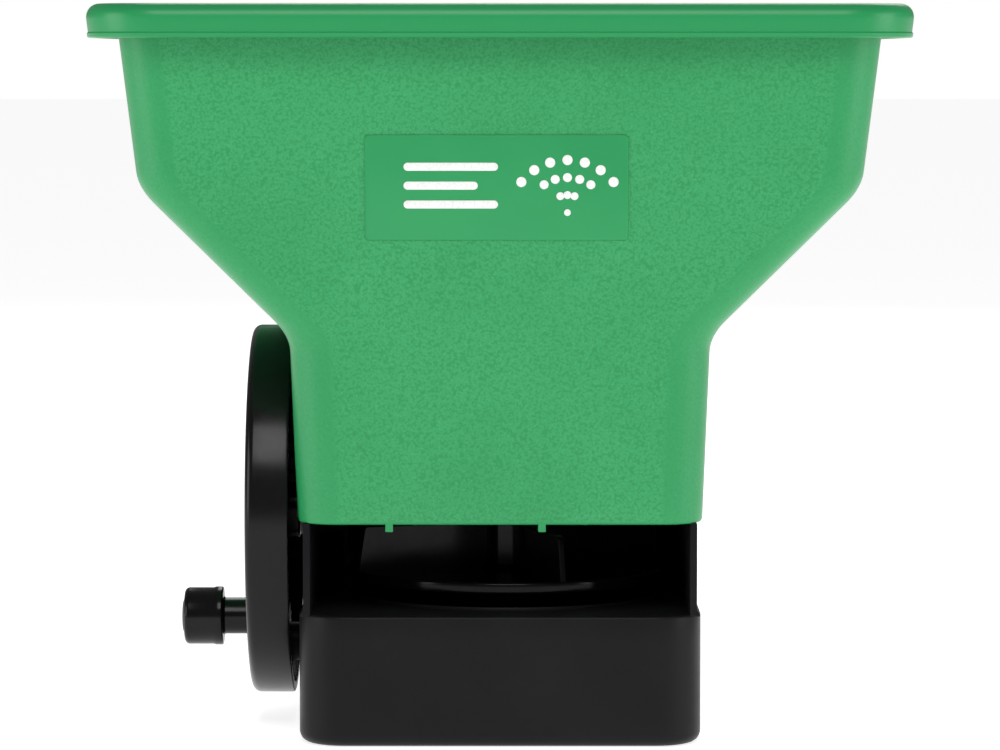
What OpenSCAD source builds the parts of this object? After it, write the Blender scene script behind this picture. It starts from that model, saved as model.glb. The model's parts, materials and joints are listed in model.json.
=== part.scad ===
// Hand-cranked broadcast spreader: a hopper on a housing, with a vaned disc that spins
// behind the front opening, a geared crank wheel on the left and a loop grip with a
// trigger at the back. The front faces -Y, the crank wheel is at -X and +Z is up.
// The origin is the middle of the flat underside. Sizes are in millimetres.

/* [Hopper] */
// Width across the rim
rim_w = 248; // [242:1:252]
// Height of the rim's top above the ground
rim_top = 222.4; // [220:0.1:226]
// Height of the turned-down skirt of the rim
skirt_h = 10.2; // [8:0.1:14]
// How far the rim stands out from the walls
rim_out = 9; // [8:0.5:12]
// Height of the shoulder where the sides start to slope in
shoulder_z = 167.4; // [160:0.1:178]
// Height of the waist where the slope meets the neck
waist_z = 123; // [120:0.5:130]
// Height of the hopper's underside
neck_z = 67; // [67:1:67]
// Half width at the shoulder
shoulder_half = 108.3; // [104:0.1:110]
// Half width at the waist
waist_half = 63.2; // [63:0.1:64]
// Half width at the underside
neck_half = 61; // [60.5:0.1:61.5]
// Lean of the front wall, in degrees
front_lean = 1.5; // [1:0.1:2]
// Wall thickness
hopper_wall = 2.4; // [2:0.1:2.8]

/* [Housing] */
// Width of the housing box
box_w = 121.2; // [120:0.2:122]
// Depth of the housing box
box_d = 130; // [130:1:132]
// Height of the deck
deck_z = 39.4; // [39:0.2:40]
// Corner radius of the box, seen from above
box_corner = 14; // [12:0.5:16]
// Wall thickness of the housing
box_wall = 2.6; // [2.4:0.1:2.8]
// Outer half width of the walls beside the disc
cheek_half = 59.2; // [59:0.1:59.6]

/* [Spinner] */
// Sideways place of the disc's axis
spin_x = 2.4; // [2:0.1:2.8]
// Radius of the disc
disc_r = 50.6; // [48:0.2:51]
// Height of the disc's underside
disc_z = 44.5; // [44:0.1:45]
// Thickness of the disc's rim
disc_rim_h = 3.3; // [2.6:0.1:3.4]
// Height of the top of the vanes
vane_top = 61.4; // [58:0.2:61.4]
// Number of vanes
vanes = 4; // [3:1:6]
// Radius of the round well in the deck
well_r = 48.4; // [47:0.2:49]

/* [Crank] */
// Height of the crank wheel's axis
wheel_z = 65.5; // [65.5:0.5:65.5]
// Radius of the crank wheel
wheel_r = 57.5; // [57.5:0.5:59]
// Distance from the middle plane to the wheel's outer face
wheel_out = 77; // [77:0.5:78]
// Distance from the middle plane to the wheel's inner edge
wheel_in = 63.9; // [63.9:0.1:64.4]
// Distance from the wheel's axis to the knob's axis
crank_r = 34; // [30:1:36]
// Radius of the knob's head
knob_r = 9.15; // [8:0.1:10]
// Radius of the knob's neck
knob_neck_r = 5.7; // [5:0.1:6]

/* [Gears] */
// Teeth on the wheel's inner ring
ring_teeth = 60; // [60:1:60]
// Teeth on the pinion
pinion_teeth = 12; // [12:1:12]
// Tooth module of the ring and the pinion
ring_module = 1.75; // [1.75:0.25:1.75]
// Teeth on each bevel gear
bevel_teeth = 14; // [14:1:14]
// Tooth module of the bevel gears
bevel_module = 1.25; // [1.25:0.25:1.25]

/* [Grip] */
// Distance from the middle of the box to the back of the grip
grip_back = 136; // [132:1:140]
// Thickness of the hand bar, front to back
bar_d = 24; // [22:1:26]
// Half width of the grip
grip_half_w = 13; // [12:0.5:15]
// Height of the grip's top
grip_top = 148; // [146:1:150]
// Height of the top of the finger gap
gap_top = 108; // [108:1:108]
// Height of the bottom of the finger gap
gap_low = 27; // [24:1:30]
// Length of the trigger's arm, from its pin to the rod
trigger_arm = 45; // [45:1:45]
// Distance from the middle of the box to the trigger's pin
trigger_y = 88; // [88:1:88]

/* [Fits] */
// Radius of the shafts
shaft_r = 3; // [3:0.5:3]
// Radial clearance of a running fit
run = 0.05; // [0.03:0.01:0.08]
// Gap between parts that move past each other
gap = 0.4; // [0.3:0.1:0.5]

/* [Hidden] */
$fn = 64;
green = [0.22, 0.66, 0.42];
label_green = [0.18, 0.60, 0.36];
black = [0.10, 0.10, 0.11];
dark = [0.20, 0.20, 0.21];
steel = [0.72, 0.73, 0.75];
cream = [0.85, 0.84, 0.78];
slice = 0.02;
cut = 1;

// Hopper: each level is [half width, back edge, height]
neck_back = 62;
waist_back = 64.5;
shoulder_back = 98;
rim_back = 115.6;
rim_half = rim_w / 2;
top_half = rim_half - rim_out;
top_back = rim_back - rim_out;
wall_corner = 12;
rim_corner = 20;
rim_plate_in = 18;
rim_wall = 2.2;
neck_level = [neck_half, neck_back, neck_z];
waist_level = [waist_half, waist_back, waist_z];
shoulder_level = [shoulder_half, shoulder_back, shoulder_z];
top_level = [top_half, top_back, rim_top];
slope_lift = 1;
floor_h = 2.5;
floor_z = neck_z + floor_h;
funnel_r = 31;
funnel_top = 97;
void_in_r = 33;
void_out_r = 58;
void_in_h = 1.6;
void_out_h = 17;
channel_y = [39, 58.8];
channel_half = 8;
front_foot = 64;
outlet_x = 10;
outlet_y = [10, 22];
bush_r = 5;
flange_r = 7.4;
flange_h = 1.4;
floor_bush_r = 6;
tab_w = 2.3;
tab_h = 2.2;
tab_x = [-34.3, 11.4];
label_size = [78.2, 31.2];
label_mid = [-1, 167.9];
label_h = 0.5;

// Housing
box_half = box_w / 2;
box_back = box_d / 2;
deck_h = 2.4;
deck_under = deck_z - deck_h;
well_floor_z = 37;
well_h = 2.4;
well_wall = 2.4;
lip_h = 0.8;
lip_w = 1.2;
cheek_h = 2.2;
cheek_front = 60;
back_wall_y = 61.2;
cover_h = 2.6;
cover_gap = 0.15;
cover_screw_x = 46;
cover_screw_y = 43.5;
hopper_screw_x = 50;
hopper_screw_y = 51;
post_r = 4;
pilot_r = 1.4;
screw_r = 1.5;
head_r = 3;
small_head_h = 1.4;
head_sink = 1.5;
hopper_head_h = 2.2;
hopper_screw_len = 42;
through = 20;
ear_r = 13;
ear_boss_r = 8.5;
axle_r = 4;
axle_in = 48;
axle_head = [4, 2];
tapped_h = 14;
boss_in = 50;
block_x = -23;
block_half = 3;
block_w = 18;
block_foot = 16;

// Gears: radii of the pitch, tip and root circles
ring_pitch = ring_module * ring_teeth / 2;
pinion_pitch = ring_module * pinion_teeth / 2;
shaft_z = wheel_z - (ring_pitch - pinion_pitch);
addendum = 0.8;
dedendum = 1.08;
ring_tip = ring_pitch - addendum * ring_module;
ring_root = ring_pitch + dedendum * ring_module;
pinion_tip = pinion_pitch + addendum * ring_module;
pinion_root = pinion_pitch - dedendum * ring_module;
tooth_tip_w = 1.1;
tooth_base_w = 2.8;
ring_in = 65.6;
web_h = 2.4;
web_in = wheel_out - web_h;
hub_in = 62.5;
hub_r = 9;
wheel_edge_r = 2.6;
hub_recess = 1.6;
wheel_ribs = 6;
rib_w = 1.8;
rib_h = 0.7;
washer_r = 8;
pinion_hub_r = 6;
pinion_out = 73.6;
pinion_in = 66;
bevel_pitch = bevel_module * bevel_teeth / 2;
bevel_tip = bevel_pitch + addendum * bevel_module;
bevel_root = bevel_pitch - dedendum * bevel_module;
bevel_tip_w = 0.7;
bevel_base_w = 1.7;
bevel_face = 4;
bevel_hub_r = 6;
bevel_hub_h = 6;
foot_z = 1.4;
foot_top = cover_h + 5;
shaft_top = 86.2;

// Disc and agitator
disc_hub_z = 40;
disc_hub_r = 7.5;
first_vane = -70;
vane_h = 1.8;
stir_z = 74;
stir_h = 16;
stir_cap_h = 2.4;
stir_r = [7, 5.4, 3];
stir_turn = 25;
finger_r = 2;
finger_x = 24;
finger_h = 11;

// Knob
pin_r = 2.5;
knob_screw_r = 1;
knob_out = 99.8;
knob_head_h = 12.8;
knob_cone_h = 2;
knob_z = wheel_z - crank_r;
knob_start = wheel_out + gap;
knob_cap_h = 2.4;
knob_cap_r = 5.1;

// Gate
gate_half = 24;
gate_h = 2;
gate_z = neck_z - 0.6 - gate_h;
gate_front = -25;
gate_back = 43;
window_half = 12;
window_y = [-19.5, 8.5];
rod_z = 71;
rod_r = 2.2;
lug_h = 3;
lug_top = 3.2;
rail_len = 34;
rail_in = gate_half + gap;
rail_out = 28;
rail_foot_h = 2.2;
rail_lip = 2.6;
rail_low = gate_z - rail_foot_h;
guide_screw_r = 0.9;
guide_screw_x = rail_in + 1.8;
guide_screw_y = 12;
guide_head = [1.7, 0.7];
guide_screw_len = 6.4;
guide_pilot_h = 1.9;

// Trigger and grip
trigger_z = rod_z + trigger_arm;
trigger_half = 5.8;
blade_r = 3.6;
blade_low_z = 62;
fork_half = 2.7;
link_r = 1.5;
eye_half = 2;
spring_r = blade_r + 0.8;
spring_wire = 0.5;
spring_turns = 2;
spring_steps = 20;
spring_sides = 8;
spring_x = [2.7, 5.2];
spring_legs = [13, 15];
grip_wall = 2.4;
grip_low = 7;
end_block = 12;
dial_y = 101;
dial_z = 137;
dial_r = 10;
dial_h = 5.6;
grip_screw_len = 20;
grip_screw_points = [[124, 20], [124, 66], [124, 112], [116, 138]];
handle_head_h = 2;
handle_low = [8, 17];
handle_high = [9, 116];

function front_y(z) = -front_foot - (z - neck_z) * tan(front_lean);
function turned(p, a) = [p[0] * cos(a) - p[1] * sin(a), p[0] * sin(a) + p[1] * cos(a)];
// Outline with n straight-sided teeth between the radii base and tip
function toothed(n, base, tip, base_w, tip_w, first) =
    [for (i = [0 : n - 1],
          c = [[base, -base_w / 2], [tip, -tip_w / 2], [tip, tip_w / 2], [base, base_w / 2]])
        turned(c, first + i * 360 / n)];
function arc(mid, r, from, to, steps) =
    [for (i = [0 : steps]) let (a = from + (to - from) * i / steps) mid + r * [cos(a), sin(a)]];

// Rounded rectangle between two corners
module plan(low, high, r) {
    size = high - low;
    translate(low + [r, 0]) square([size[0] - 2 * r, size[1]]);
    translate(low + [0, r]) square([size[0], size[1] - 2 * r]);
    for (x = [low[0] + r, high[0] - r], y = [low[1] + r, high[1] - r])
        translate([x, y]) circle(r);
}

// Thin slice of the hopper's outline at one level, drawn in by inset and raised by lift
module level(at, inset = 0, lift = 0) {
    z = at[2] + lift;
    translate([0, 0, z])
        linear_extrude(slice)
            plan([-at[0] + inset, front_y(at[2]) + inset], [at[0] - inset, at[1] - inset],
                wall_corner - inset, $fn = 32);
}

module between(a, b, inset = 0, lift_a = 0, lift_b = 0) {
    hull() {
        level(a, inset, lift_a);
        level(b, inset, lift_b);
    }
}

// Turns what is built upwards so that it points to -X from the middle plane
module outward(y = 0, z = 0) {
    translate([0, y, z]) rotate([0, -90, 0]) children();
}

// Draws a (y, z) outline and extrudes it from x0 to x1
module along_x(x0, x1) {
    translate([x0, 0, 0]) rotate([90, 0, 90]) linear_extrude(x1 - x0) children();
}

module tube(r_out, r_in, h) {
    difference() {
        cylinder(r = r_out, h = h);
        translate([0, 0, -cut]) cylinder(r = r_in, h = h + 2 * cut);
    }
}

// Cross-head screw, its head up to z = 0 and its shank down from it
module screw(shank_r, length, cap_r, cap_h) {
    difference() {
        union() {
            translate([0, 0, -cap_h]) cylinder(r1 = cap_r, r2 = cap_r * 0.86, h = cap_h);
            translate([0, 0, -cap_h - length]) cylinder(r = shank_r, h = length + slice);
        }
        for (a = [0, 90])
            rotate(a) translate([-cap_r * 0.55, -0.35, -cap_h * 0.6])
                cube([cap_r * 1.1, 0.7, cap_h]);
    }
}

// ---- hopper ----

module rim_ring(z, h, inset_out, inset_in) {
    translate([0, 0, z])
        linear_extrude(h)
            difference() {
                rim_plan(inset_out);
                rim_plan(inset_in);
            }
}

module rim_plan(inset) {
    front = front_y(rim_top) - rim_out;
    plan([-rim_half + inset, front + inset], [rim_half - inset, rim_back - inset],
        rim_corner - inset);
}

module hopper() {
    color(green)
        difference() {
            union() {
                between(neck_level, waist_level);
                between(waist_level, shoulder_level);
                between(shoulder_level, top_level, lift_b = -slice);
                rim_ring(rim_top - skirt_h, skirt_h - 2, 0, rim_wall);
                rim_ring(rim_top - 2.4, 1, 0.6, rim_plate_in);
                rim_ring(rim_top - 1.4, 1.4, 2, rim_plate_in);
                for (x = tab_x)
                    translate([x, front_y(neck_z), neck_z - tab_h])
                        cube([tab_w, hopper_wall, tab_h + cut]);
            }
            hopper_inside();
            hopper_underside();
        }
}

module hopper_inside() {
    hull() {
        translate([0, 0, floor_z]) cylinder(r = funnel_r, h = slice);
        level([neck_half, neck_back, neck_z], hopper_wall, funnel_top - neck_z);
    }
    hull() {
        level([neck_half, neck_back, neck_z], hopper_wall, funnel_top - neck_z);
        level(waist_level, hopper_wall, slope_lift);
    }
    between(waist_level, shoulder_level, hopper_wall, slope_lift, slope_lift);
    between(shoulder_level, top_level, hopper_wall, slope_lift, cut);
}

// Hollow under the sloping floor, the channel for the gate's lug, the holes in the floor,
// and the room for the axle's ear
module hopper_underside() {
    rotate_extrude()
        polygon([[void_in_r, neck_z - cut], [void_out_r, neck_z - cut],
            [void_out_r, neck_z + void_out_h], [void_in_r, neck_z + void_in_h]]);
    translate([-channel_half, channel_y[0], neck_z - cut])
        cube([2 * channel_half, channel_y[1] - channel_y[0],
            rod_z + lug_top + cut - neck_z + cut]);
    translate([spin_x, 0, neck_z - cut]) cylinder(r = floor_bush_r, h = floor_h + 2 * cut);
    translate([-outlet_x, outlet_y[0], neck_z - cut])
        cube([2 * outlet_x, outlet_y[1] - outlet_y[0], floor_h + 2 * cut]);
    translate([0, neck_back - 4, rod_z]) rotate([-90, 0, 0]) cylinder(r = rod_r + gap, h = 6);
    outward(0, wheel_z) translate([0, 0, neck_half - 5]) cylinder(r = ear_r + gap, h = 8);
    for (x = [-hopper_screw_x, hopper_screw_x])
        translate([x, hopper_screw_y, neck_z - cut]) cylinder(r = screw_r, h = 15);
    for (x = [-guide_screw_x, guide_screw_x], y = [-guide_screw_y, guide_screw_y])
        translate([x, y, neck_z - cut]) cylinder(r = guide_screw_r, h = guide_pilot_h + cut);
    for (x = [-handle_high[0], handle_high[0]])
        translate([x, neck_back - 5, handle_high[1]])
            rotate([-90, 0, 0]) cylinder(r = screw_r, h = 10);
}

module label_plate() {
    color(label_green)
        translate([label_mid[0], front_y(label_mid[1]), label_mid[1]])
            rotate([90 + front_lean, 0, 0])
                linear_extrude(label_h) plan(-label_size / 2, label_size / 2, 1.2);
}

// ---- housing ----

module box_plan(inset) {
    plan([-box_half + inset, -box_back + inset], [box_half - inset, box_back - inset],
        box_corner - inset);
}

// Box with a rounded lower edge
module box_body() {
    steps = [[0, 2.2], [0.8, 0.9], [2, 0.25], [3.6, 0], [deck_z - 0.6, 0], [deck_z - slice, 0.5]];
    hull()
        for (s = steps)
            translate([0, 0, s[0]]) linear_extrude(slice) box_plan(s[1], $fn = 32);
}

module housing_solid() {
    difference() {
        box_body();
        translate([0, 0, -cut]) linear_extrude(deck_under + cut) box_plan(box_wall);
    }
    translate([spin_x, 0, well_floor_z - well_h])
        cylinder(r = well_r + well_wall, h = deck_z - well_floor_z + well_h - 1);
    translate([spin_x, 0, deck_z - 1]) cylinder(r = well_r + lip_w, h = 1 + lip_h);
    for (side = [0, 1]) mirror([side, 0, 0]) cheek();
    translate([-cheek_half + cut, back_wall_y, deck_z - cut])
        cube([2 * (cheek_half - cut), 2.4, neck_z - deck_z + cut]);
    axle_ear();
    outward(0, shaft_z) translate([0, 0, boss_in]) cylinder(r = 8, h = box_half - boss_in - cut);
    for (x = [-hopper_screw_x, hopper_screw_x])
        translate([x, hopper_screw_y, deck_under]) cylinder(r = post_r, h = neck_z - deck_under);
    for (x = [-cover_screw_x, cover_screw_x], y = [-cover_screw_y, cover_screw_y])
        translate([x, y, cover_h]) cylinder(r = post_r, h = deck_under - cover_h + cut);
}

// Side wall beside the disc, with a foot that flares out to the box
module cheek() {
    depth = cheek_front + back_wall_y + 2.4;
    flare = arc([cheek_half + 3, deck_z + 3], 3, 180, 260, 6);
    translate([0, back_wall_y + 2.4, 0])
        rotate([90, 0, 0])
            linear_extrude(depth)
                polygon(concat(
                    [[cheek_half - cheek_h, deck_z - cut], [cheek_half - cheek_h, neck_z],
                     [cheek_half, neck_z]],
                    [for (p = flare) [min(p[0], box_half - 0.5), p[1]]],
                    [[box_half - 0.5, deck_z - cut]]));
}

// Round ear of the left side wall, which holds the wheel's axle
module axle_ear() {
    outward(0, wheel_z) {
        translate([0, 0, cheek_half - cheek_h]) cylinder(r = ear_r, h = cheek_h);
        translate([0, 0, axle_in]) cylinder(r = 7.5, h = cheek_half - axle_in);
        translate([0, 0, cheek_half - cut]) cylinder(r = ear_boss_r, h = box_half - cheek_half + cut);
    }
}

module housing() {
    color(black)
        difference() {
            housing_solid();
            translate([spin_x, 0, well_floor_z]) cylinder(r = well_r, h = 5);
            translate([spin_x, 0, well_floor_z - well_h - cut]) cylinder(r = bush_r, h = 5);
            outward(0, wheel_z) translate([0, 0, axle_in - cut]) cylinder(r = axle_r, h = 15);
            outward(0, shaft_z) translate([0, 0, boss_in - cut]) cylinder(r = bush_r, h = 15);
            for (x = [-hopper_screw_x, hopper_screw_x])
                translate([x, hopper_screw_y, deck_under - cut])
                    cylinder(r = screw_r, h = neck_z - deck_under + 2 * cut);
            for (x = [-cover_screw_x, cover_screw_x], y = [-cover_screw_y, cover_screw_y])
                translate([x, y, cover_h - cut]) cylinder(r = pilot_r, h = 14);
            for (x = [-handle_low[0], handle_low[0]])
                translate([x, box_back - 5, handle_low[1]])
                    rotate([-90, 0, 0]) cylinder(r = screw_r, h = 10);
        }
}

module bottom_cover() {
    color(black)
        difference() {
            union() {
                linear_extrude(cover_h) box_plan(box_wall + cover_gap);
                translate([spin_x, 0, 0]) cylinder(r = bush_r + 2.5, h = foot_top);
            }
            translate([spin_x, 0, foot_z]) cylinder(r = bush_r, h = foot_top);
            for (x = [-cover_screw_x, cover_screw_x], y = [-cover_screw_y, cover_screw_y])
                translate([x, y, 0]) {
                    translate([0, 0, -cut]) cylinder(r = head_r + 0.3, h = cut + head_sink);
                    cylinder(r = screw_r + 0.2, h = cover_h + cut);
                }
        }
}

module cover_screws() {
    color(steel)
        for (x = [-cover_screw_x, cover_screw_x], y = [-cover_screw_y, cover_screw_y])
            translate([x, y, head_sink - small_head_h])
                mirror([0, 0, 1]) screw(pilot_r, 11, head_r, small_head_h);
}

module hopper_screws() {
    color(steel)
        for (x = [-hopper_screw_x, hopper_screw_x])
            translate([x, hopper_screw_y, deck_under - hopper_head_h])
                mirror([0, 0, 1]) screw(screw_r, hopper_screw_len, head_r, hopper_head_h);
}

// ---- crank wheel ----

module crank_wheel() {
    edge = wheel_edge_r;
    color(black)
        outward(0, wheel_z)
            difference() {
                union() {
                    rotate_extrude($fn = 128)
                        polygon(concat(
                            [[0, web_in]],
                            [[ring_root, web_in], [ring_root, wheel_in], [wheel_r - 0.6, wheel_in],
                             [wheel_r, wheel_in + 0.6]],
                            arc([wheel_r - edge, wheel_out - edge], edge, 0, 90, 6),
                            [[0, wheel_out]]));
                    translate([0, 0, ring_in])
                        linear_extrude(web_in - ring_in + slice) ring_section();
                    translate([0, 0, hub_in]) cylinder(r = hub_r, h = wheel_out - hub_in);
                    for (a = [0 : wheel_ribs - 1])
                        rotate((a + 0.5) * 360 / wheel_ribs)
                            translate([hub_r - 1, -rib_w / 2, web_in - rib_h])
                                cube([ring_tip - 2 - hub_r, rib_w, rib_h + 0.1]);
                }
                translate([0, 0, hub_in - cut]) cylinder(r = axle_r + run, h = through);
                translate([0, 0, wheel_out - hub_recess]) cylinder(r = hub_r + 1, h = 5);
                translate([-crank_r, 0, web_in + 0.4]) cylinder(r = pin_r, h = 5);
            }
}

// Toothed ring, in section, with one tooth pointing up from straight below the axle
module ring_section() {
    difference() {
        circle(r = wheel_r - 1, $fn = 128);
        polygon(toothed(ring_teeth, ring_root, ring_tip, tooth_base_w, tooth_tip_w, 180));
    }
}

module wheel_axle() {
    color(steel)
        outward(0, wheel_z)
            difference() {
                translate([0, 0, axle_in]) cylinder(r = axle_r, h = wheel_out - hub_recess - axle_in);
                translate([0, 0, wheel_out - tapped_h]) cylinder(r = screw_r, h = tapped_h);
            }
}

module thrust_washer() {
    color(cream)
        outward(0, wheel_z)
            translate([0, 0, box_half + 0.1]) tube(washer_r, axle_r, hub_in - box_half - 0.3);
}

module axle_washer() {
    color(steel)
        outward(0, wheel_z)
            translate([0, 0, wheel_out - hub_recess + 0.1]) tube(washer_r, screw_r, 1);
}

module axle_screw() {
    color(steel)
        outward(0, wheel_z)
            translate([0, 0, wheel_out - hub_recess + 1.1 + axle_head[1]])
                screw(screw_r, 10, axle_head[0], axle_head[1]);
}

// ---- knob ----

module crank_pin() {
    color(steel)
        outward(0, knob_z)
            difference() {
                translate([0, 0, web_in + 0.4]) cylinder(r = pin_r, h = knob_out - 5 - web_in);
                translate([0, 0, knob_out - tapped_h]) cylinder(r = knob_screw_r, h = tapped_h);
            }
}

module knob() {
    head_start = knob_out - knob_head_h;
    edge = 2;
    color(black)
        outward(0, knob_z)
            difference() {
                rotate_extrude()
                    polygon(concat(
                        [[pin_r + run, knob_start], [knob_neck_r, knob_start],
                         [knob_neck_r, head_start - knob_cone_h],
                         [knob_r - 1.2, head_start]],
                        [[knob_r, head_start + 1.2]],
                        arc([knob_r - edge, knob_out - 1 - edge], edge, 0, 90, 5),
                        [[pin_r + run, knob_out - 1]]));
                translate([0, 0, knob_out - 5.6]) cylinder(r = knob_cap_r + 0.1, h = 10);
            }
}

// Domed cap that closes the end of the knob
module knob_cap() {
    dome_r = 24;
    color(black)
        outward(0, knob_z)
            intersection() {
                translate([0, 0, knob_out - knob_cap_h]) cylinder(r = knob_cap_r, h = knob_cap_h + 1);
                translate([0, 0, knob_out - dome_r]) sphere(r = dome_r, $fn = 96);
            }
}

module knob_screw() {
    color(steel)
        outward(0, knob_z)
            translate([0, 0, knob_out - 3]) screw(knob_screw_r, 8, 4.4, 1.5);
}

// ---- drive train ----

module drive_pinion() {
    color(cream)
        outward(0, shaft_z)
            difference() {
                union() {
                    translate([0, 0, pinion_in])
                        linear_extrude(pinion_out - pinion_in)
                            polygon(toothed(pinion_teeth, pinion_root, pinion_tip,
                                tooth_base_w, tooth_tip_w, 180 + 180 / pinion_teeth));
                    translate([0, 0, hub_in - 0.1]) cylinder(r = pinion_hub_r, h = pinion_in - hub_in + 0.2);
                }
                translate([0, 0, hub_in - cut]) cylinder(r = shaft_r, h = through);
            }
}

module layshaft() {
    color(steel)
        outward(0, shaft_z)
            translate([0, 0, -spin_x + bevel_pitch - bevel_face])
                cylinder(r = shaft_r, h = pinion_out - bevel_pitch + bevel_face + spin_x);
}

// Bush with a flange outside the side wall
module layshaft_bush() {
    color(cream)
        outward(0, shaft_z)
            difference() {
                union() {
                    translate([0, 0, boss_in])
                        cylinder(r = bush_r, h = box_half + flange_h - boss_in);
                    translate([0, 0, box_half]) cylinder(r = flange_r, h = flange_h);
                }
                translate([0, 0, boss_in - cut]) cylinder(r = shaft_r + run, h = through);
            }
}

module bearing_block() {
    color(black)
        difference() {
            union() {
                translate([block_x - block_half, -block_w / 2, cover_h])
                    cube([2 * block_half, block_w, shaft_z - cover_h]);
                translate([block_x - block_half, 0, shaft_z])
                    rotate([0, 90, 0]) cylinder(r = block_w / 2, h = 2 * block_half);
                translate([block_x - block_foot / 2, -block_w / 2, cover_h])
                    cube([block_foot, block_w, 2.4]);
            }
            translate([block_x - block_half - cut, 0, shaft_z])
                rotate([0, 90, 0]) cylinder(r = bush_r, h = 2 * block_half + 2 * cut);
        }
}

module block_bush() {
    color(cream)
        outward(0, shaft_z)
            translate([0, 0, -block_x - block_half]) tube(bush_r, shaft_r + run, 2 * block_half);
}

// Straight bevel gear, its large end at z = 0 and its small end up
module bevel_gear(first) {
    difference() {
        union() {
            linear_extrude(bevel_face, scale = (bevel_pitch - bevel_face) / bevel_pitch)
                polygon(toothed(bevel_teeth, bevel_root, bevel_tip, bevel_base_w, bevel_tip_w,
                    first));
            translate([0, 0, -bevel_hub_h]) cylinder(r = bevel_hub_r, h = bevel_hub_h + slice);
        }
        translate([0, 0, -bevel_hub_h - cut]) cylinder(r = shaft_r, h = through);
    }
}

module layshaft_bevel() {
    color(cream)
        translate([spin_x - bevel_pitch, 0, shaft_z]) rotate([0, 90, 0]) bevel_gear(0);
}

module spinner_bevel() {
    color(cream)
        translate([spin_x, 0, shaft_z - bevel_pitch])
            bevel_gear(180 + 180 / bevel_teeth);
}

module spinner_shaft() {
    color(steel)
        translate([spin_x, 0, foot_z + 0.2]) cylinder(r = shaft_r, h = shaft_top - foot_z - 0.2);
}

module foot_bush() {
    color(cream)
        translate([spin_x, 0, foot_z]) tube(bush_r, shaft_r + run, foot_top - foot_z);
}

module deck_bush() {
    color(cream)
        translate([spin_x, 0, well_floor_z - well_h])
            difference() {
                union() {
                    cylinder(r = bush_r, h = well_h + flange_h);
                    translate([0, 0, well_h]) cylinder(r = flange_r, h = flange_h);
                }
                translate([0, 0, -cut]) cylinder(r = shaft_r + run, h = 10);
            }
}

module floor_bush() {
    color(cream)
        translate([spin_x, 0, neck_z])
            difference() {
                union() {
                    cylinder(r = floor_bush_r, h = floor_h + flange_h);
                    translate([0, 0, floor_h]) cylinder(r = flange_r, h = flange_h);
                }
                translate([0, 0, -cut]) cylinder(r = shaft_r + run, h = 10);
            }
}

// ---- spinner and agitator ----

module spinner_disc() {
    top = disc_z + disc_rim_h;
    color(dark)
        translate([spin_x, 0, 0])
            difference() {
                union() {
                    rotate_extrude($fn = 128)
                        polygon([[0, disc_z + 1], [disc_r - 2, disc_z + 1], [disc_r - 2, disc_z],
                            [disc_r - 0.4, disc_z], [disc_r, disc_z + 0.4], [disc_r, top - 0.5],
                            [disc_r - 0.5, top], [disc_r - 2, top], [disc_r - 2.6, top - 0.8],
                            [0, top - 0.8]]);
                    translate([0, 0, disc_hub_z])
                        cylinder(r = disc_hub_r, h = vane_top - disc_hub_z);
                    for (i = [0 : vanes - 1])
                        rotate(first_vane + i * 360 / vanes) vane(top - 1);
                }
                translate([0, 0, disc_hub_z - cut])
                    cylinder(r = shaft_r, h = vane_top - disc_hub_z + 2 * cut);
            }
}

// One upright vane, shorter at its top
module vane(low) {
    translate([0, vane_h / 2, 0])
        rotate([90, 0, 0])
            linear_extrude(vane_h)
                polygon([[disc_hub_r - 1.5, low], [disc_r - 1, low], [disc_r - 3.4, vane_top],
                    [disc_hub_r - 1.5, vane_top]]);
}

module agitator() {
    color(black)
        translate([spin_x, 0, 0])
            difference() {
                union() {
                    translate([0, 0, stir_z]) cylinder(r1 = stir_r[0], r2 = stir_r[1], h = stir_h);
                    translate([0, 0, stir_z + stir_h])
                        cylinder(r1 = stir_r[1], r2 = stir_r[2], h = stir_cap_h);
                    for (side = [0, 180])
                        rotate(stir_turn + side) {
                            translate([4, 0, stir_z + 4])
                                rotate([0, 90, 0]) cylinder(r = finger_r, h = finger_x - finger_r);
                            translate([finger_x, 0, stir_z + 4 - finger_r])
                                cylinder(r = finger_r, h = finger_h);
                        }
                }
                translate([0, 0, stir_z - cut])
                    cylinder(r = shaft_r, h = shaft_top - stir_z + cut + 0.4);
            }
}

// ---- gate ----

module flow_gate() {
    color(black) {
        difference() {
            translate([-gate_half, gate_front, gate_z])
                cube([2 * gate_half, gate_back - gate_front, gate_h]);
            translate([-window_half, window_y[0], gate_z - cut])
                cube([2 * window_half, window_y[1] - window_y[0], gate_h + 2 * cut]);
        }
        difference() {
            translate([-6, gate_back - lug_h, gate_z]) cube([12, lug_h, rod_z + lug_top - gate_z]);
            translate([0, gate_back - lug_h - cut, rod_z])
                rotate([-90, 0, 0]) cylinder(r = rod_r, h = lug_h + 2 * cut);
        }
    }
}

module gate_guide() {
    color(black)
        for (side = [0, 1])
            mirror([side, 0, 0])
                difference() {
                    union() {
                        translate([rail_in, -rail_len / 2, rail_low])
                            cube([rail_out - rail_in, rail_len, neck_z - rail_low]);
                        translate([rail_in - rail_lip, -rail_len / 2, rail_low])
                            cube([rail_lip + 0.2, rail_len, rail_foot_h - 0.2]);
                    }
                    for (y = [-guide_screw_y, guide_screw_y])
                        translate([guide_screw_x, y, rail_low - cut])
                            cylinder(r = guide_screw_r, h = 8);
                }
}

module guide_screws() {
    color(steel)
        for (x = [-guide_screw_x, guide_screw_x], y = [-guide_screw_y, guide_screw_y])
            translate([x, y, rail_low - guide_head[1]])
                mirror([0, 0, 1])
                    screw(guide_screw_r, guide_screw_len, guide_head[0], guide_head[1]);
}

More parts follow.
